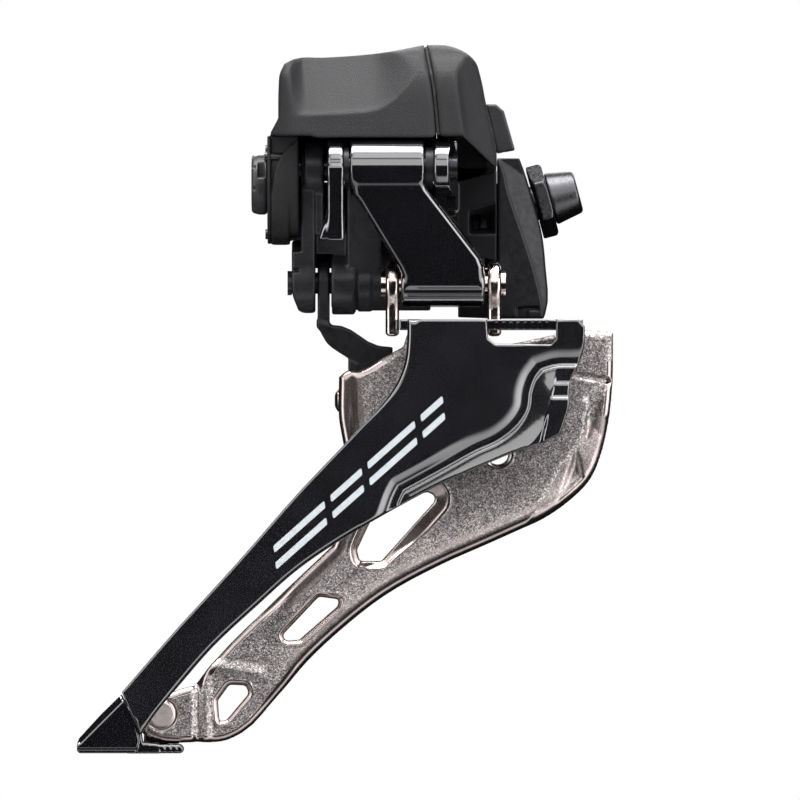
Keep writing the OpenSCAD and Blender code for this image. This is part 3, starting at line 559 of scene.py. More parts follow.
def inner_plate():
    g, x, y, z = space((-54.7, -11.3, -75.6), (11.6, -3.4, -16.1), 0.2)
    view = smooth([(4.2, -18), (7.4, -17.6), (11.4, -17.9), (11.3, -25), (10.75, -30.5), (10.15, -34.1),
                   (8.2, -38.6), (5, -41.7), (1.4, -44.1), (-1.7, -45.5), (-5.7, -47.3), (-12.9, -50.5),
                   (-20.7, -54.8), (-26.6, -59.4), (-31.3, -63.8), (-35.3, -68.5), (-40.5, -74),
                   (-42.9, -75.1), (-47, -75.3), (-52.6, -75), (-54.5, -74.1), (-54.5, -70),
                   (-49.2, -67.7), (-47.2, -67.2), (-44.3, -63.6), (-35.3, -54.7), (-28, -47.8),
                   (-25.8, -42), (-25.7, -23.3), (-23.9, -23.1), (-21, -21.5), (-18.1, -19.9),
                   (-17, -16.2), (-7, -16.2), (-6.9, -19.9), (-3, -19.5), (0, -18.9)])
    outline = area(x, z, view)
    holes = (((-14.6, -40.3), (-13.66, -40.8), (-13.66, -41.6), (-21.1, -49.9), (-24.1, -49.9), (-24.5, -48.4),
              (-22.7, -44.6), (-19.5, -41.5)),
             ((-34.9, -60.3), (-29.8, -54.9), (-27.0, -55.3), (-27.2, -56.2), (-32.6, -60.9), (-34.4, -61.0)),
             ((-43.9, -69.4), (-42.3, -67.2), (-40, -67.3), (-39.6, -68.4), (-42.7, -72.1), (-43.7, -72.3)))
    small = disc(x, z, (-4.85, -34.9), 1.5)
    gap = small
    for hole in holes:
        gap = np.minimum(gap, area(x, z, rounded(hole, 0.7)))
    # the sheet's shape: turned away right of the diagonal ridge, joggled before the tail
    ridge = np.array([(7.6, -29.5), (6.9, -31.6), (5.2, -34.3), (3.2, -36.8), (1, -41.2), (-0.9, -44.6)])
    beyond = -area(x, z, np.vstack([ridge, [(-0.9, -80), (60, -80), (60, -29.5)]]))
    bend = 0.72 * np.clip(beyond, 0, 5) * ramp(beyond, 0, 0.5)
    leaf = area(x, z, smooth([(9.9, -26.9), (7.9, -28.3), (7.2, -30.2), (7.5, -32.9), (8.9, -30.8)], 60))
    facet = area(x, z, np.array([(6.2, -33.4), (7.3, -38.3), (3.0, -42.2)]))
    dent = (0.55 * ramp(-leaf, -0.1, 0.5) + 0.45 * ramp(-facet, -0.1, 0.9)
            + 0.5 * (1 - ramp(line(x, z, [(5.6, -23.8), (10.4, -24.7)]), 0.1, 0.55))
            + 0.35 * (1 - ramp(line(x, z, [(10.4, -24.9), (7.8, -27.2)]), 0.1, 0.8)))
    tail = 0.55 * hump(x, -46.7, 0.9) * ramp(-z, 65, 66.5) - 0.35 * ramp(-x, 44.4, 45.6) * ramp(-x, 40, 42)
    fold = 0.35 * hump(z + 0.16 * (x + 44), -64.7, 1.4) * ramp(-x, 36.5, 38.5)
    sheet = bend * 0.5 + tail
    wide = 0.55 + 0.5 * ramp(x, -27, -24.6) + 0.9 * ramp(x, -20.5, -14)
    wide = np.where(small < 3, 0.5, wide)
    crest = 0.14 * hump(gap, wide + 0.1, 0.35)
    lip = crest - 0.45 * wide * np.clip(1 - gap / wide, 0, 1)
    # the sheet swells gently towards its lower edge
    low = ramp(-z, 34, 42) * (1 - ramp(-x, 33, 38))
    swell = low * (0.85 * np.clip((outline + 4.6) / 3.0, 0, 1) + 0.09 * np.clip(-outline - 4.6, 0, 8))
    boss = disc(x, z, TAIL_RIVET, 0)
    stud = -0.25 * hump(boss, 2.1, 0.4)
    front = (-10.5 + sheet + dent - lip - fold - stud - swell) - y
    field = both(outline, both(front, y + 9 - sheet * 0.6, 0.2), 1.15)
    field = cut(field, gap, 0.22)
    # the flange at the rear turns back in a soft fold
    flange = area(x, z, smooth([(-27, -24.2), (-25.9, -23.3), (-24.6, -23.3), (-24.6, -34), (-26.3, -34),
                                (-27, -30)], 50))
    field = either(field, both(flange + 0 * y, slab(y, -10.5, -3.5), 1.1), 0.4)
    rivet = disc(y, z, ARM_RIVET, 0.92)
    field = cut(field, both(rivet, slab(x, -29, -24.2)))
    field = cut(field, disc(x, z, TAIL_RIVET, 0.92) + 0 * y)
    rim = np.maximum(1 - ramp(gap, wide + 0.05, wide + 0.35), 1 - ramp(-outline, 0.9, 1.2))
    rim = np.maximum(rim, 0.52 * (1 - ramp(x + 0.09 * (z + 28), -23.6, -23.3)) * (z > -38))
    # the lower edge and the part turned away at the front are finer
    fine = np.maximum(low * ramp(outline, -2.9, -2.3), ramp(beyond, 0.1, 0.7))
    rim = np.maximum(rim, 0.5 * fine)
    rim = np.maximum(rim * (z < -22), 1 - ramp(boss, 2.2, 2.6)) + 0 * y
    piece("cage_inner_plate_body", g, field, ["cage_inner_plate"], "cage",
          blasted_aluminium, {"rim": rim})


def cage_tail():
    g, x, y, z = space((-63.6, -23.0, -76.8), (-48.4, -8.2, -68), 0.16)
    blade = area(x, z, [(-57.35, -68.5), (-60.2, -71.3), (-63.15, -74.5), (-63.45, -75.3), (-63.45, -76.3),
                        (-63.1, -76.62), (-55.2, -76.62), (-54.8, -74.8), (-55.6, -71.6)])
    slope = 0.9 * (1 - ramp(line(x, z, [(-57.0, -68.2), (-63.4, -74.6)]), 0.0, 0.9))
    low = 0.35 * ramp(-z, 75.9, 76.1)
    shell = both(blade, both(PLATE_FRONT + slope + low - y, y + 9.3, 0.12), 0.12)
    inner = area(x, z, [(-57.5, -68.8), (-55.1, -76.62), (-52, -76.62), (-52, -75.4), (-54.3, -75.2),
                        (-54.6, -73.4), (-55.6, -71)])
    shell = either(shell, both(inner, slab(y, -21.0, -10.6), 0.2))
    skid = area(x, z, [(-56.4, -75.45), (-49.1, -75.45), (-48.65, -75.9), (-48.65, -76.4), (-49.0, -76.64),
                       (-56.4, -76.64)])
    teeth = 0.1 * np.abs(((x + z * 0.6) / 0.42) % 2 - 1) + 0.08 * np.abs(((x - z * 0.6) / 0.42) % 2 - 1)
    body = either(shell, both(skid, slab(y, -21.0 + teeth, -8.3), 0.3), 0.15)
    tab = area(x, z, smooth([(-54.3, -75.6), (-54.1, -71), (-51.8, -69.3), (-49.5, -71), (-49.3, -75.6)], 24))
    body = either(body, both(tab, slab(y, -9.0, -7.85), 0.2))
    body = cut(body, disc(x, z, TAIL_RIVET, 0.92) + 0 * y)
    piece("tail_bridge_body", g, body, ["tail_bridge"], "cage", gloss_black)


outer_plate()
inner_plate()
cage_tail()


# ---------------------------------------------------------------- housing

def housing_side(y, z):
    return area(y, z, smooth([(-21.2, 9.1), (-21.2, 15.5), (-20.5, 18.4), (-18.6, 20.8), (-15.6, 22.1), (6, 22.1),
                              (10, 19.5), (12.9, 14.5), (13.6, 10), (13.6, 3), (-4, 3), (-4, 9.1)], 34))


def hollow_side(y, z):
    return area(y, z, [(-19.9, 10.6), (-19.9, 15.2), (-19.3, 17.5), (-17.6, 19.5), (-15.3, 20.8), (5.6, 20.8),
                       (9.2, 18.6), (11.9, 14.1), (12.4, 9.8), (12.4, 4), (-3, 4), (-3, 10.6)])


def block(x, y, z, lo, hi):
    return np.maximum(np.maximum(slab(x, lo[0], hi[0]), slab(y, lo[1], hi[1])), slab(z, lo[2], hi[2]))


def housing():
    g, x, y, z = space((-37.1, -21.3, 2.9), (-12.9, 13.7, 22.2), 0.2)
    view = area(x, z, smooth([(-31, 3), (-13.05, 3), (-13.35, 9.1), (-14.05, 16.3), (-15.15, 22.1),
                              (-18.2, 21.45), (-20.8, 21.0), (-23.8, 20.65), (-29.1, 20.3), (-33.2, 20.1),
                              (-34.6, 19.4),
                              (-35.2, 18.1), (-35.4, 16), (-35.45, 11.8), (-36.9, 9.1), (-31, 9.1)], 24))
    # the scoop: a hollow that deepens evenly above the crease, which rises to the right
    rise = 12.05 + 0.045 * (x + 34) + 1.25 * np.logaddexp(0, (x + 20.4) * 0.9)
    above = (z - rise) / np.hypot(1, 0.045 + 1.125 / (1 + np.exp(-(x + 20.4) * 0.9)))
    left = x - (-33.4 + (20.3 - z) * 0.11)
    lean = 0.62 * np.clip(above, 0, 9) + 0.28 * ramp(above, 0, 0.7)
    depth = lean * ramp(left, -1.2, 1.4)
    shoulder = 0.5 * np.clip(-33.6 - x, 0, 3) ** 1.3
    front = (HOUSING_FRONT + depth + shoulder) - y
    body = both(both(view, housing_side(y, z), 0.9), front, 0.35)
    inside = both(both(area(x, z, [(-29.8, 4), (-8, 4), (-8, 20.6), (-17.5, 19.6), (-20.8, 19.2), (-33.1, 18.3),
                                   (-34.2, 17), (-34.1, 11.6), (-34.1, 10.6), (-29.8, 10.6)]),
                       hollow_side(y, z)), front + 1.3)
    body = cut(body, inside)
    for at, _ in COVER_SCREWS:
        body = either(body, both(both(disc(y, z, at, 1.9), slab(x, -19, -15.3)), front + 0.6))
        body = drill(body, y, z, x, at, 0.85, -18, -10)
    body = cut(body, block(x, y, z, (-34.9, -2.1, 8.2), (-30.6, 5, 12)))
    body = cut(body, block(x, y, z, (-36.1, -12.2, 8.2), (-34.6, 2.2, 10.4)))
    piece("housing_shell", g, body, ["housing_main"], "base", shell_plastic)

    g, x, y, z = space((-15.0, -21.3, 2.0), (-4.8, 13.7, 22.2), 0.18)
    view = area(x, z, smooth([(-12.6, 3), (-5.2, 3), (-4.95, 4.9), (-6.6, 14.4), (-7.3, 17.8), (-7.9, 19.6),
                              (-8.7, 20.5), (-11.6, 21.95), (-14.75, 22.1), (-13.65, 16.3), (-12.95, 9.1)], 24))
    past = x - (-9.6 - (z - 9.4) * 0.144)
    front = HOUSING_FRONT + 0.95 * np.clip(past, 0, 9) + 0.5 * ramp(past, -0.6, 0.9) - y
    side = np.minimum(housing_side(y, z), both(slab(y, HOUSING_FRONT, 0), slab(z, 4.3, 14)))
    body = both(both(view, side, 0.7), front, 0.5)
    inside = both(both(area(x, z, [(-15, 4.4), (-7, 4.4), (-7, 9), (-8.6, 16), (-9.8, 18.6), (-12.2, 20.2),
                                   (-15, 20.2)]), hollow_side(y, z + 0.3)), front + 1.3)
    body = cut(body, inside)
    for at, face in COVER_SCREWS:
        post = both(disc(y, z, at, 2.4), slab(x, -14.2, face - 0.2))
        body = either(body, both(post, np.maximum(view, front) + 0.5))
        body = drill(body, y, z, x, at, 0.86, -16, 0)
        body = cut(body, both(disc(y, z, at, 1.46), face - 1.1 - x), 0.15)
    under = area(x, z, [(-16, 0), (-16, 9.2), (-9.8, 9.3), (-5.1, 4.8), (-3, 2.7), (-3, 0)])
    body = cut(body, both(under, y + 4), 0.5)
    body = cut(body, block(x, y, z, (-13, -9, 2), (-3, 8.4, 4.9)))
    body = cut(body, block(x, y, z, (-6.2, -8, 2), (-1.2, 9, 6.6)))
    piece("housing_cover_shell", g, body, ["housing_cover"], "base", cover_plastic)

    g, x, y, z = space((-6.6, 9.0, 7.0), (-2.2, 12.8, 14.4), 0.12)
    view = area(x, z, rounded([(-6.48, 14.05), (-5.0, 14.05), (-3.9, 13.1), (-2.32, 7.6), (-4.88, 7.12)], 0.25))
    body = both(view, slab(y, 9.2, 12.6), 0.3)
    groove = np.abs(x + 4.6 + (z - 10) * 0.25) - 0.15
    body = cut(body, both(groove + 0 * y, 9.6 - y), 0.08)
    piece("terminal_block", g, body, ["rear_block"], "base", socket_plastic)


def gear_case():
    g, x, y, z = space((-37.1, -15.1, -5.3), (-31, 13.7, 9.5), 0.18)
    view = smooth([(-15, 9.4), (-15, 3), (-13.6, -1.8), (-10.5, -4.6), (-7, -5.2), (10, -5.2), (12.6, -3.6),
                   (13.6, -1), (13.6, 9.4)], 40)
    side = area(y, z, view)
    body = both(side, slab(x, -36.5, -33.9), 0.25)
    wall = area(y, z, smooth([(-15, 9.4), (-15, 3), (-13.9, -0.9), (-12, -3.2), (-9.5, -4.4), (-8, -4.4),
                              (-8, 9.4)], 40))
    body = either(body, both(wall, slab(x, -34.2, -32.6), 0.3))
    body = either(body, both(disc(y, z, IDLER, 5.5), slab(x, -34.2, -31.8), 0.3), 0.2)
    low = area(y, z, [(0, -4.9), (10, -5.1), (12.6, -3.6), (13.6, -1), (13.6, 2.9), (-2, 2.9)])
    body = either(body, both(low, slab(x, -34.2, -31.2), 0.3), 0.2)
    # web that closes the gap between the case and the inner link's hub
    body = either(body, block(x, y, z, (-34.2, -5.6, 6.2), (-31.3, -4.6, 9.4)))
    # raised panel on the front edge, inside an arc
    panel = area(x, z, smooth([(-32.0, 9.6), (-33.2, 8.5), (-34.35, 7.5), (-35.5, 5.7), (-36.1, 3.6),
                               (-36.25, 1.0), (-36.25, -2.2), (-35.9, -2.8), (-32.0, -3.4)], 24))
    body = cut(body, both(-panel, y + 14.6), 0.12)
    body = cut(body, both(area(y, z, [(-13.5, 10.4), (-13.5, 2.8), (-12.5, -1.2), (-9.8, -3.6), (-7.5, -4.5),
                                      (0, -4.5), (4.2, -1.5), (4.6, 10.4)]), slab(x, -37.5, -34.6)))
    body = drill(body, y, z, x, IDLER, 5.05, -35, -32.9)
    body = cut(body, block(x, y, z, (-34.7, -1.8, 4.9), (-31.1, 4.7, 11)))
    body = drill(body, y, z, x, INNER_PIVOT, 2.92, -37, -33.4)
    body = drill(body, y, z, x, INNER_PIVOT, 2.42, -34, -32)
    body = drill(body, y, z, x, IDLER, 0.82, -37, -32.2)
    body = drill(body, y, z, x, PORT, 3.12, -40, -32.4)
    for at in CASE_SCREWS:
        body = drill(body, y, z, x, at, 0.52, -38, -34.2)
    piece("gear_case_shell", g, body, ["gear_case"], "base", shell_plastic)

    g, x, y, z = space((-37.2, -15.1, -5.3), (-36.3, 13.7, 9.5), 0.12)
    body = both(area(y, z, view), slab(x, -37.0, -36.52), 0.2)
    body = cut(body, disc(y, z, PORT, 3.12) + 0 * x, 0.1)
    for at in CASE_SCREWS:
        body = cut(body, disc(y, z, at, 0.53) + 0 * x)
    piece("gear_case_plate", g, body, ["gear_case_lid"], "base", shell_plastic)


def port():
    g, x, y, z = space((-39.4, 5.4, -1.6), (-32.4, 14.4, 7.3), 0.14)
    r = disc(y, z, PORT, 0)
    body = both(r - 3.1, slab(x, -39.3, -32.5), 0.15)
    flare = 0.45 * ramp(x, -38.1, -39.1)
    body = either(body, both(r - 4.29 + flare * 0.4, slab(x, -39.3, -37.05), 0.5), 0.1)
    body = cut(body, both(r - 2.3, x + 33.2), 0.2)
    body = cut(body, block(x, y, z, (-38.9, 8.7, 5.9), (-37.6, 11.1, 9)), 0.12)
    body = cut(body, block(x, y, z, (-38.4, 3, 3.7), (-37.45, 6.9, 6.6)), 0.12)
    for s in (-0.6, 0.6):
        body = drill(body, y, z, x, (PORT[0] + s, PORT[1]), 0.32, -34, -32)
    notch = np.abs(np.mod(np.degrees(np.arctan2(z - PORT[1], y - PORT[0])) - 10 + 22.5, 45) - 22.5) - 3
    body = cut(body, both(both(notch * r * 0.0175, 3.9 - r), slab(x, -39.6, -38.7)), 0.08)
    piece("wire_port_collar", g, body, ["wire_port"], "base", socket_plastic)


# ---------------------------------------------------------------- base, bracket, bolts

def ear_view(y, z, lobe):
    f = np.minimum(disc(y, z, OUTER_PIVOT, 3.6), disc(y, z, INNER_PIVOT, 3.9))
    f = either(f, area(y, z, [(-19.5, 1.3), (-10, 1.2), (-10, 8.7), (-19.5, 8.5)]), 0.8)
    f = either(f, area(y, z, [(-12.4, 2.2), (-4, -5), (1, -5), (1, 2.7), (-4.6, 2.7), (-6.4, 6.4)]), 0.8)
    if lobe:
        f = either(f, area(y, z, smooth([(-23.1, 4.9), (-22.6, -1), (-21.8, -5.2), (-18.7, -5.2), (-18, -1),
                                         (-17, 2.2)], 40)), 0.8)
    f = cut(f, disc(y, z, OUTER_PIVOT, 1.77))
    return cut(f, disc(y, z, INNER_PIVOT, 2.67))


def base():
    g, x, y, z = space((-31.1, -23.2, -9.2), (-4.9, 8.1, 9.1), 0.19)
    body = both(ear_view(y, z, True), slab(x, -28.6, -26.3), 0.45)
    foot = area(x, z, smooth([(-28.6, -1.2), (-29.4, -3.6), (-29.85, -5.2), (-26.3, -5.2), (-26.3, -1.2)], 30))
    body = either(body, both(foot, slab(y, -21.9, -18.8), 0.5), 0.5)
    body = either(body, both(ear_view(y, z, False), slab(x, -13.8, -10.4), 0.45))
    body = either(body, block(x, y, z, (-28.6, -3, -5), (-5, 1, 2.7)), 0.6)
    body = either(body, block(x, y, z, (-28.6, -0.4, -9), (-5, 1, -4.5)))
    body = either(body, block(x, y, z, (-31, -0.4, -9), (-28, 1, 3.05)))
    view = area(x, z, smooth([(-12, 2.7), (-4.97, 4.6), (-4.97, -8.2), (-7.2, -7.6), (-12, -5)], 24))
    body = either(body, both(view, slab(y, -8.4, 8), 0.12), 0.3)
    # pyramid pocket in the block's front
    tip = np.maximum(np.maximum(-8.8 - x + (y + 8.4) * 0.2, x + 5.15 + (y + 8.4) * 0.5),
                     np.maximum(-4.3 - z + (y + 8.4) * 0.4, z + 0.9 - (x + 8.7) * 0.3 + (y + 8.4) * 0.9))
    body = cut(body, both(tip, y + 6.2), 0.08)
    hole = area(x, z, [(-8.6, -1.8), (-7.2, -1.4), (-7.4, -3.6), (-8.3, -3.8)])
    body = cut(body, both(hole, y + 4.2), 0.05)
    for at in BRACKET_SCREWS:
        body = drill(body, y, z, x, at, 1.02, -12, -4)
    body = drill(body, y, z, x, INNER_PIVOT, 3.9, -26.3, -13.8)
    piece("base_frame_body", g, body, ["base_frame"], "base", base_black,
          {"satin": np.maximum(ramp(x, -10.6, -10.2), ramp(y, -8, -7)) + 0 * z})


def bracket():
    g, x, y, z = space((-10.5, -6.6, -16.2), (2.1, 8.1, 6.5), 0.17)
    view = area(x, z, smooth([(-4.88, 6.35), (-1.8, 6.35), (-1.1, 4.5), (0.2, 0.2), (1.4, -4.4), (1.85, -8.5),
                              (1.85, -15.4), (1.6, -16.05), (-4.88, -16.05)], 25))
    bevel = area(x, z, np.vstack([smooth([(-5.2, 6.6), (-4.3, 5), (-3.6, 2), (-1.6, -4), (0.3, -10), (1.2, -14),
                                          (1.5, -17)], closed=False), [(20, -17), (20, 7)]]))
    front = -6.45 + 0.55 * np.clip(-bevel, 0, 4) + 0.12 * ramp(-bevel, 0, 0.2) - y
    body = both(view, both(front, y - 8, 0.3), 0.35)
    foot = area(x, z, [(-4.7, -9.1), (-10.35, -9.1), (-10.35, -15.85), (-4.7, -16.05)])
    body = either(body, both(foot, slab(y, -0.5, 8), 0.25))
    c, s = math.cos(BOLT_TILT), math.sin(BOLT_TILT)
    across, along = x * c + z * s, -x * s + z * c
    body = cut(body, both(np.hypot(across - 20, y) - 20, slab(along, -4.6, 7.4)), 0.15)
    off = np.hypot(y, along)
    body = cut(body, off - 2.53)
    body = cut(body, both(disc(x, z, (-1.5, -11.5), 2.07), -4.6 - y), 0.1)
    for at in BRACKET_SCREWS:
        body = drill(body, y, z, x, at, 1.02, -6, 5)
        body = drill(body, y, z, x, at, 1.8, -2.4, 5, 0.12)
    body = cut(body, block(x, y, z, (-2.2, -7, -16.5), (-0.6, -5.9, -14.5)), 0.1)
    body = cut(body, block(x, y, z, (-1.2, -7, -14.9), (0.9, -5.9, -14.4)), 0.08)
    piece("mount_bracket_body", g, body, ["mount_bracket"], "base", satin_black)


def bolts():
    c, s = math.cos(BOLT_TILT), math.sin(BOLT_TILT)
    g, x, y, z = space((-0.6, -5.3, -5.0), (5.0, 5.3, 6.0), 0.13)
    along, up = x * c + z * s, -x * s + z * c
    r = np.hypot(y, up)
    body = both(hexagon(y, up, 4.5), slab(along, 0.0, 2.6), 0.15)
    body = both(body, r + (along - 2.6) * 1.2 - 4.75, 0.1)
    body = both(body, np.hypot(along - 20.35, y) - 20, 0.2)
    body = cut(body, r - 2.55, 0.1)
    piece("radius_washer_body", g, body, ["radius_washer"], "fixing_bolt", gunmetal)

    g, x, y, z = space((-4.5, -3.9, -5.2), (7.6, 3.9, 5.8), 0.12)
    along, up = x * c + z * s, -x * s + z * c
    r = np.hypot(y, up)
    shank = both(r - 2.45 + 0.1 * np.abs((along / 0.4) % 2 - 1) * (along < 1.5), slab(along, -4.4, 3), 0.3)
    head = both(r - 3.75 + (along - 2.62) * 0.2, slab(along, 2.62, 6.7), 0.45)
    body = either(shank, head, 0.1)
    body = cut(body, both(hexagon(y, up, 2.0), 3.9 - along), 0.12)
    piece("fixing_bolt_body", g, body, ["fixing_bolt"], "fixing_bolt", gunmetal)


# ---------------------------------------------------------------- links and lugs

def hang(y, z, top):
    """Distance down a leaning link from its upper pivot, and out from its middle plane."""
    down = (y - top[0]) * math.sin(LEAN) - (z - top[1]) * math.cos(LEAN)
    out_ = -(y - top[0]) * math.cos(LEAN) - (z - top[1]) * math.sin(LEAN)
    return down, out_


def links():
    g, x, y, z = space((-25.5, -23.6, -15.2), (-6.5, -11.2, 8.9), 0.16)
    down, out_ = hang(y, z, OUTER_PIVOT)
    top = both(np.hypot(down, out_) - 3.9, slab(x, -25.4, -15.1), 0.35)
    low = both(both(np.hypot(down - LINK, out_) - 3.8, slab(x, -18.3, -6.7), 0.35), -14.65 - z, 1.2)
    # the web's outline runs along x and down, and it changes on every row of y and z
    left = np.interp(down, [-1, 1.0, 2.9, 4.0, 13.4, 14.6, 15.9, 22],
                     [-25.35, -25.3, -25.05, -24.3, -18.75, -18.25, -18.1, -18.1])
    right = np.interp(down, [-1, 1.4, 2.4, 12.2, 13.4, 14.8, 22],
                      [-15.15, -15.0, -14.6, -7.3, -6.85, -6.72, -6.7])
    edge = np.maximum((left - x) * 0.86, (x - right) * 0.83)
    dish = 0.06 * ramp(-edge, 0.3, 2.2) * ramp(down, 3.2, 5.5) * (1 - ramp(down, 11.8, 14.2))
    web = both(both(edge, slab(down, 0.3, 16.6)), slab(out_, 0.4, 3.87 - dish), 0.85)
    body = either(either(top, web, 0.35), low, 0.35)
    body = cut(body, both(np.hypot(down - LINK, out_) - 3.55, x + 18.4))
    body = cut(body, both(np.hypot(down, out_) - 2.42, slab(x, -30, -5)))
    body = cut(body, both(np.hypot(down - LINK, out_) - 2.17, slab(x, -30, -5)))
    piece("outer_link_body", g, body, ["outer_link"], "outer_link", gloss_black)

    g, x, y, z = space((-33.8, -14.4, -16.1), (-14.1, -1.2, 9.4), 0.18)
    down, out_ = hang(y, z, INNER_PIVOT)
    r_top, r_low = np.hypot(down, out_), np.hypot(down - LINK, out_)
    strap = both(slab(out_, -3.3, 3.3), slab(down, 0, LINK))
    arm = np.minimum(strap, np.minimum(r_top - 3.3, r_low - 3.3))
    tip = area(x, z, smooth([(-33.65, 12), (-33.6, -12.6), (-32.7, -14.9), (-31.3, -15.9), (-30.2, -15.2),
                             (-30.2, 12)], 24))
    arm_l = both(both(both(either(arm, r_low - 4.2, 1.0), slab(x, -33.6, -30.2), 0.45), tip, 0.3),
                 np.minimum(-32.3 - x, 11.4 - down), 0.3)
    arm_l = cut(arm_l, block(x, y, z, (-33.9, -30, -9.6), (-32.6, -8.6, -9.0)), 0.08)
    hub = both(r_top - 4.1, slab(x, -31.9, -29.15), 0.4)
    shoulder = both(both(slab(out_, -3.0, 3.0), slab(down, 0, 9.0)), slab(x, -31.9, -29.15), 0.3)
    hub = either(hub, shoulder, 0.4)
    arm_r = both(arm, slab(x, -25.9, -21.1), 0.4)
    web = both(both(slab(out_, -1.2, 1.2), slab(down, 9.3, 12.3)), slab(x, -30.6, -25.5), 0.3)
    barrel = both(r_top - 3.1, slab(x, -26.0, -14.2), 0.2)
    steps = 4.4 - 0.4 * ramp(x, -25.0, -24.6) - 0.15 * ramp(x, -22.6, -22.4)
    low = both(r_low - steps, slab(x, -28.0, -14.2), 0.3)
    box = both(both(slab(out_, -3.0, 4.2), slab(down, 13.2, 19.4)), slab(x, -28.0, -24.6), 0.25)
    low = either(low, both(box, r_low - 4.4, 0.2), 0.3)
    low = cut(low, np.abs(x + 24.5) - 0.14 + 0 * y + np.maximum(0, 3.8 - r_low), 0.05)
    body = np.minimum(either(arm_l, web, 0.4), either(either(arm_r, web, 0.4), either(barrel, low), 0.3))
    body = np.minimum(body, hub)
    body = cut(body, r_top - 2.02)
    body = cut(body, r_low - 1.52)
    piece("inner_link_body", g, body, ["inner_link"], "inner_link", black_steel)


def lugs():
    for side, (x0, x1) in (("left", (-20.5, -18.6)), ("right", (-6.3, -4.35))):
        g, x, y, z = space((x0, -18.4, -18.9), (x1, -11.9, -8.0), 0.11)
        eye = disc(y, z, OUTER_LOW_PIN, 3.2)
        stem = both(slab(y, -17.45, -12.87), slab(z, -18.8, -11.3))
        body = both(either(eye, stem, 1.2), slab(x, x0, x1), 0.75)
        body = both(body, -18.75 - z, 0.7)
        body = cut(body, disc(y, z, OUTER_LOW_PIN, 1.52) + 0 * x)
        piece(f"lug_{side}_body", g, body, [f"lug_{side}"], "cage", polished_nickel)


def bridge():
    g, x, y, z = space((-18.6, -21.1, -17.8), (7.1, -10.4, -16.1), 0.14)
    body = both(both(slab(x, -18.55, 7.0), slab(z, -17.7, -16.2)), slab(y, -21.08, -10.52), 0.3)
    knurl = 0.16 * np.abs((x / 0.5) % 2 - 1) * (slab(x, -5.5, 2.6) < 0) * (z < -16.6)
    body = np.maximum(body, -21.0 + knurl - y)
    body = cut(body, block(x, y, z, (-6.32, -17.5, -20), (-4.33, -12.82, -15)))
    piece("cage_bridge_body", g, body, ["cage_bridge"], "cage", gloss_black)


def arm():
    g, x, y, z = space((-30.1, -9.1, -31.6), (-19.4, -2.2, -7.6), 0.16)
    leaf = area(y, z, smooth([(-8.86, -11.1), (-2.46, -11.1), (-3.26, -17.4), (-9, -17.4), (-9, -14)], 40))
    leaf = np.minimum(disc(y, z, INNER_LOW_PIN, 3.2), leaf)
    body = both(leaf, slab(x, -30, -28.3), 0.35)
    foot = area(x, z, smooth([(-30, -16.4), (-30, -17.2), (-28.6, -19.6), (-25.6, -21.7), (-25.66, -26),
                              (-19.5, -26), (-19.5, -20.05), (-21.6, -19.8), (-26.6, -17.1),
                              (-28.2, -16.9)], 30))
    body = either(body, both(foot, slab(y, -8.98, -7.4), 0.35), 0.5)
    heel = area(x, z, [(-25.66, -21.8), (-24.3, -22.4), (-24.3, -31.5), (-25.66, -31.5)])
    body = either(body, both(heel, slab(y, -8.98, -3.6), 0.3), 0.3)
    body = drill(body, y, z, x, INNER_LOW_PIN, 1.58, -31, -27)
    body = drill(body, y, z, x, ARM_RIVET, 0.92, -28, -23)
    piece("cage_arm_body", g, body, ["cage_arm"], "cage", satin_black)


def rivets():
    g, x, y, z = space((-27.8, -7.8, -29.3), (-23.6, -4.2, -25.7), 0.09)
    r = disc(y, z, ARM_RIVET, 0)
    body = both(r - 0.9, slab(x, -27.2, -23.7), 0.1)
    body = either(body, both(both(r - 1.6, slab(x, -27.6, -27.0), 0.2), np.hypot(r, x + 25.2) - 2.5))
    body = either(body, both(r - 1.4, slab(x, -24.3, -23.7), 0.2))
    piece("arm_rivet_body", g, body, ["arm_rivet"], "cage", polished_nickel)

    g, x, y, z = space((-53.8, -11.3, -73.3), (-49.8, -6.9, -69.3), 0.09)
    r = disc(x, z, TAIL_RIVET, 0)
    body = both(r - 0.9, slab(y, -10.9, -7.2), 0.1)
    ring = both(r - 1.8, slab(y, -11.1, -10.5), 0.2)
    body = either(body, cut(ring, both(r - 1.1, -10.9 - y), 0.1))
    body = either(body, both(r - 1.5, slab(y, -7.8, -7.25), 0.25))
    piece("tail_rivet_body", g, body, ["tail_rivet"], "cage", rivet_steel)


housing()
gear_case()
port()
base()
bracket()
bolts()
links()
lugs()
bridge()
arm()
rivets()


# ---------------------------------------------------------------- light and camera

def area_light(name, at, target, size, power, colour=(1, 1, 1)):
    lamp = bpy.data.lights.new(name, "AREA")
    lamp.shape = "RECTANGLE"
    lamp.size, lamp.size_y = size
    lamp.energy = power
    lamp.color = colour
    obj = bpy.data.objects.new(name, lamp)
    bpy.context.scene.collection.objects.link(obj)
    obj.location = at
    obj.rotation_euler = (Vector(target) - Vector(at)).to_track_quat("-Z", "Y").to_euler()
    return obj


middle = (-0.018, -0.005, -0.027)
area_light("overhead", (-0.02, -0.06, 0.75), middle, (1.3, 0.52), 22)
area_light("front_high", (0.0, -1.15, 0.48), middle, (1.5, 0.55), 5.5)
area_light("left_strip", (-1.0, -0.55, 0.2), middle, (0.5, 1.1), 3.5)
area_light("right_strip", (1.0, -0.45, 0.2), middle, (0.5, 1.1), 3.5)
area_light("rear", (0.1, 1.1, 0.5), middle, (1.4, 0.6), 6)

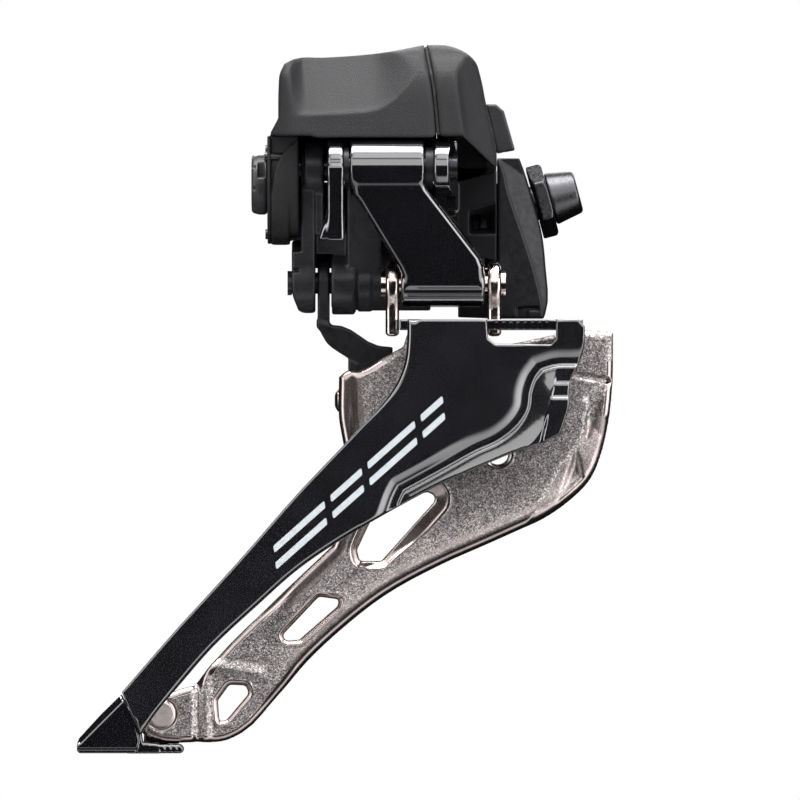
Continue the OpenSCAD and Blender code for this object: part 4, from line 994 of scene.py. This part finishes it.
world = bpy.data.worlds.new("studio")
bpy.context.scene.world = world
w = Tree(world)
path = w.add("ShaderNodeLightPath")
white, dim = w.add("ShaderNodeBackground"), w.add("ShaderNodeBackground")
white.inputs[0].default_value = (1, 1, 1, 1)
white.inputs[1].default_value = 1.0
dim.inputs[0].default_value = (0.98, 0.98, 1.0, 1)
where = w.add("ShaderNodeTexCoord")
axes = w.add("ShaderNodeSeparateXYZ")
w.link(where.outputs["Generated"], axes.inputs[0])


def fade(axis, a, b, lo, hi):
    return w.spread(axes.outputs[axis], lo, hi, a, b, interpolation_type="SMOOTHSTEP")


# The camera sees white. The surfaces see a soft bright ring round the front, with a dark middle straight
# ahead, weaker from below and from the rear end of the part.
ring = w.maths("MULTIPLY", fade("Y", -0.82, -0.7, 0.0, 1.0), fade("Y", -0.5, -0.3, 1.0, 0.0))
weight = w.maths("MULTIPLY", fade("Z", -0.75, -0.1, 0.45, 1.0), fade("X", -0.4, 0.2, 0.45, 1.0))
ring = w.maths("MULTIPLY", ring, w.maths("MULTIPLY", weight, 3.2))
w.link(w.maths("ADD", ring, 0.015), dim.inputs[1])
mixer = w.add("ShaderNodeMixShader")
out = w.add("ShaderNodeOutputWorld")
for a, b in ((path.outputs["Is Camera Ray"], mixer.inputs[0]), (dim.outputs[0], mixer.inputs[1]),
             (white.outputs[0], mixer.inputs[2]), (mixer.outputs[0], out.inputs[0])):
    w.link(a, b)


def floor():
    ring = [(0.9 * math.cos(a), 0.9 * math.sin(a), -0.15) for a in np.linspace(0, 2 * math.pi, 97)[:-1]]
    mesh = bpy.data.meshes.new("floor")
    mesh.from_pydata(ring, [], [list(range(96))])
    obj = bpy.data.objects.new("floor", mesh)
    bpy.context.scene.collection.objects.link(obj)
    n = Nodes("floor")
    n.set(Base_Color=n.tones(n.noise(200, 2), (0.78, 0.78, 0.78), (0.82, 0.82, 0.82)), Roughness=0.7)
    mesh.materials.append(n.mat)
    obj.visible_glossy = False


floor()

camera = bpy.data.cameras.new("camera")
camera.lens = 1286
camera.sensor_width = 36
camera.clip_start, camera.clip_end = 0.1, 20
eye = bpy.data.objects.new("camera", camera)
bpy.context.scene.collection.objects.link(eye)
eye.location = (-0.01848, -4.0, -0.02744)
eye.rotation_euler = (math.pi / 2, 0, 0)
bpy.context.scene.camera = eye
bpy.context.scene.view_settings.view_transform = "Standard"
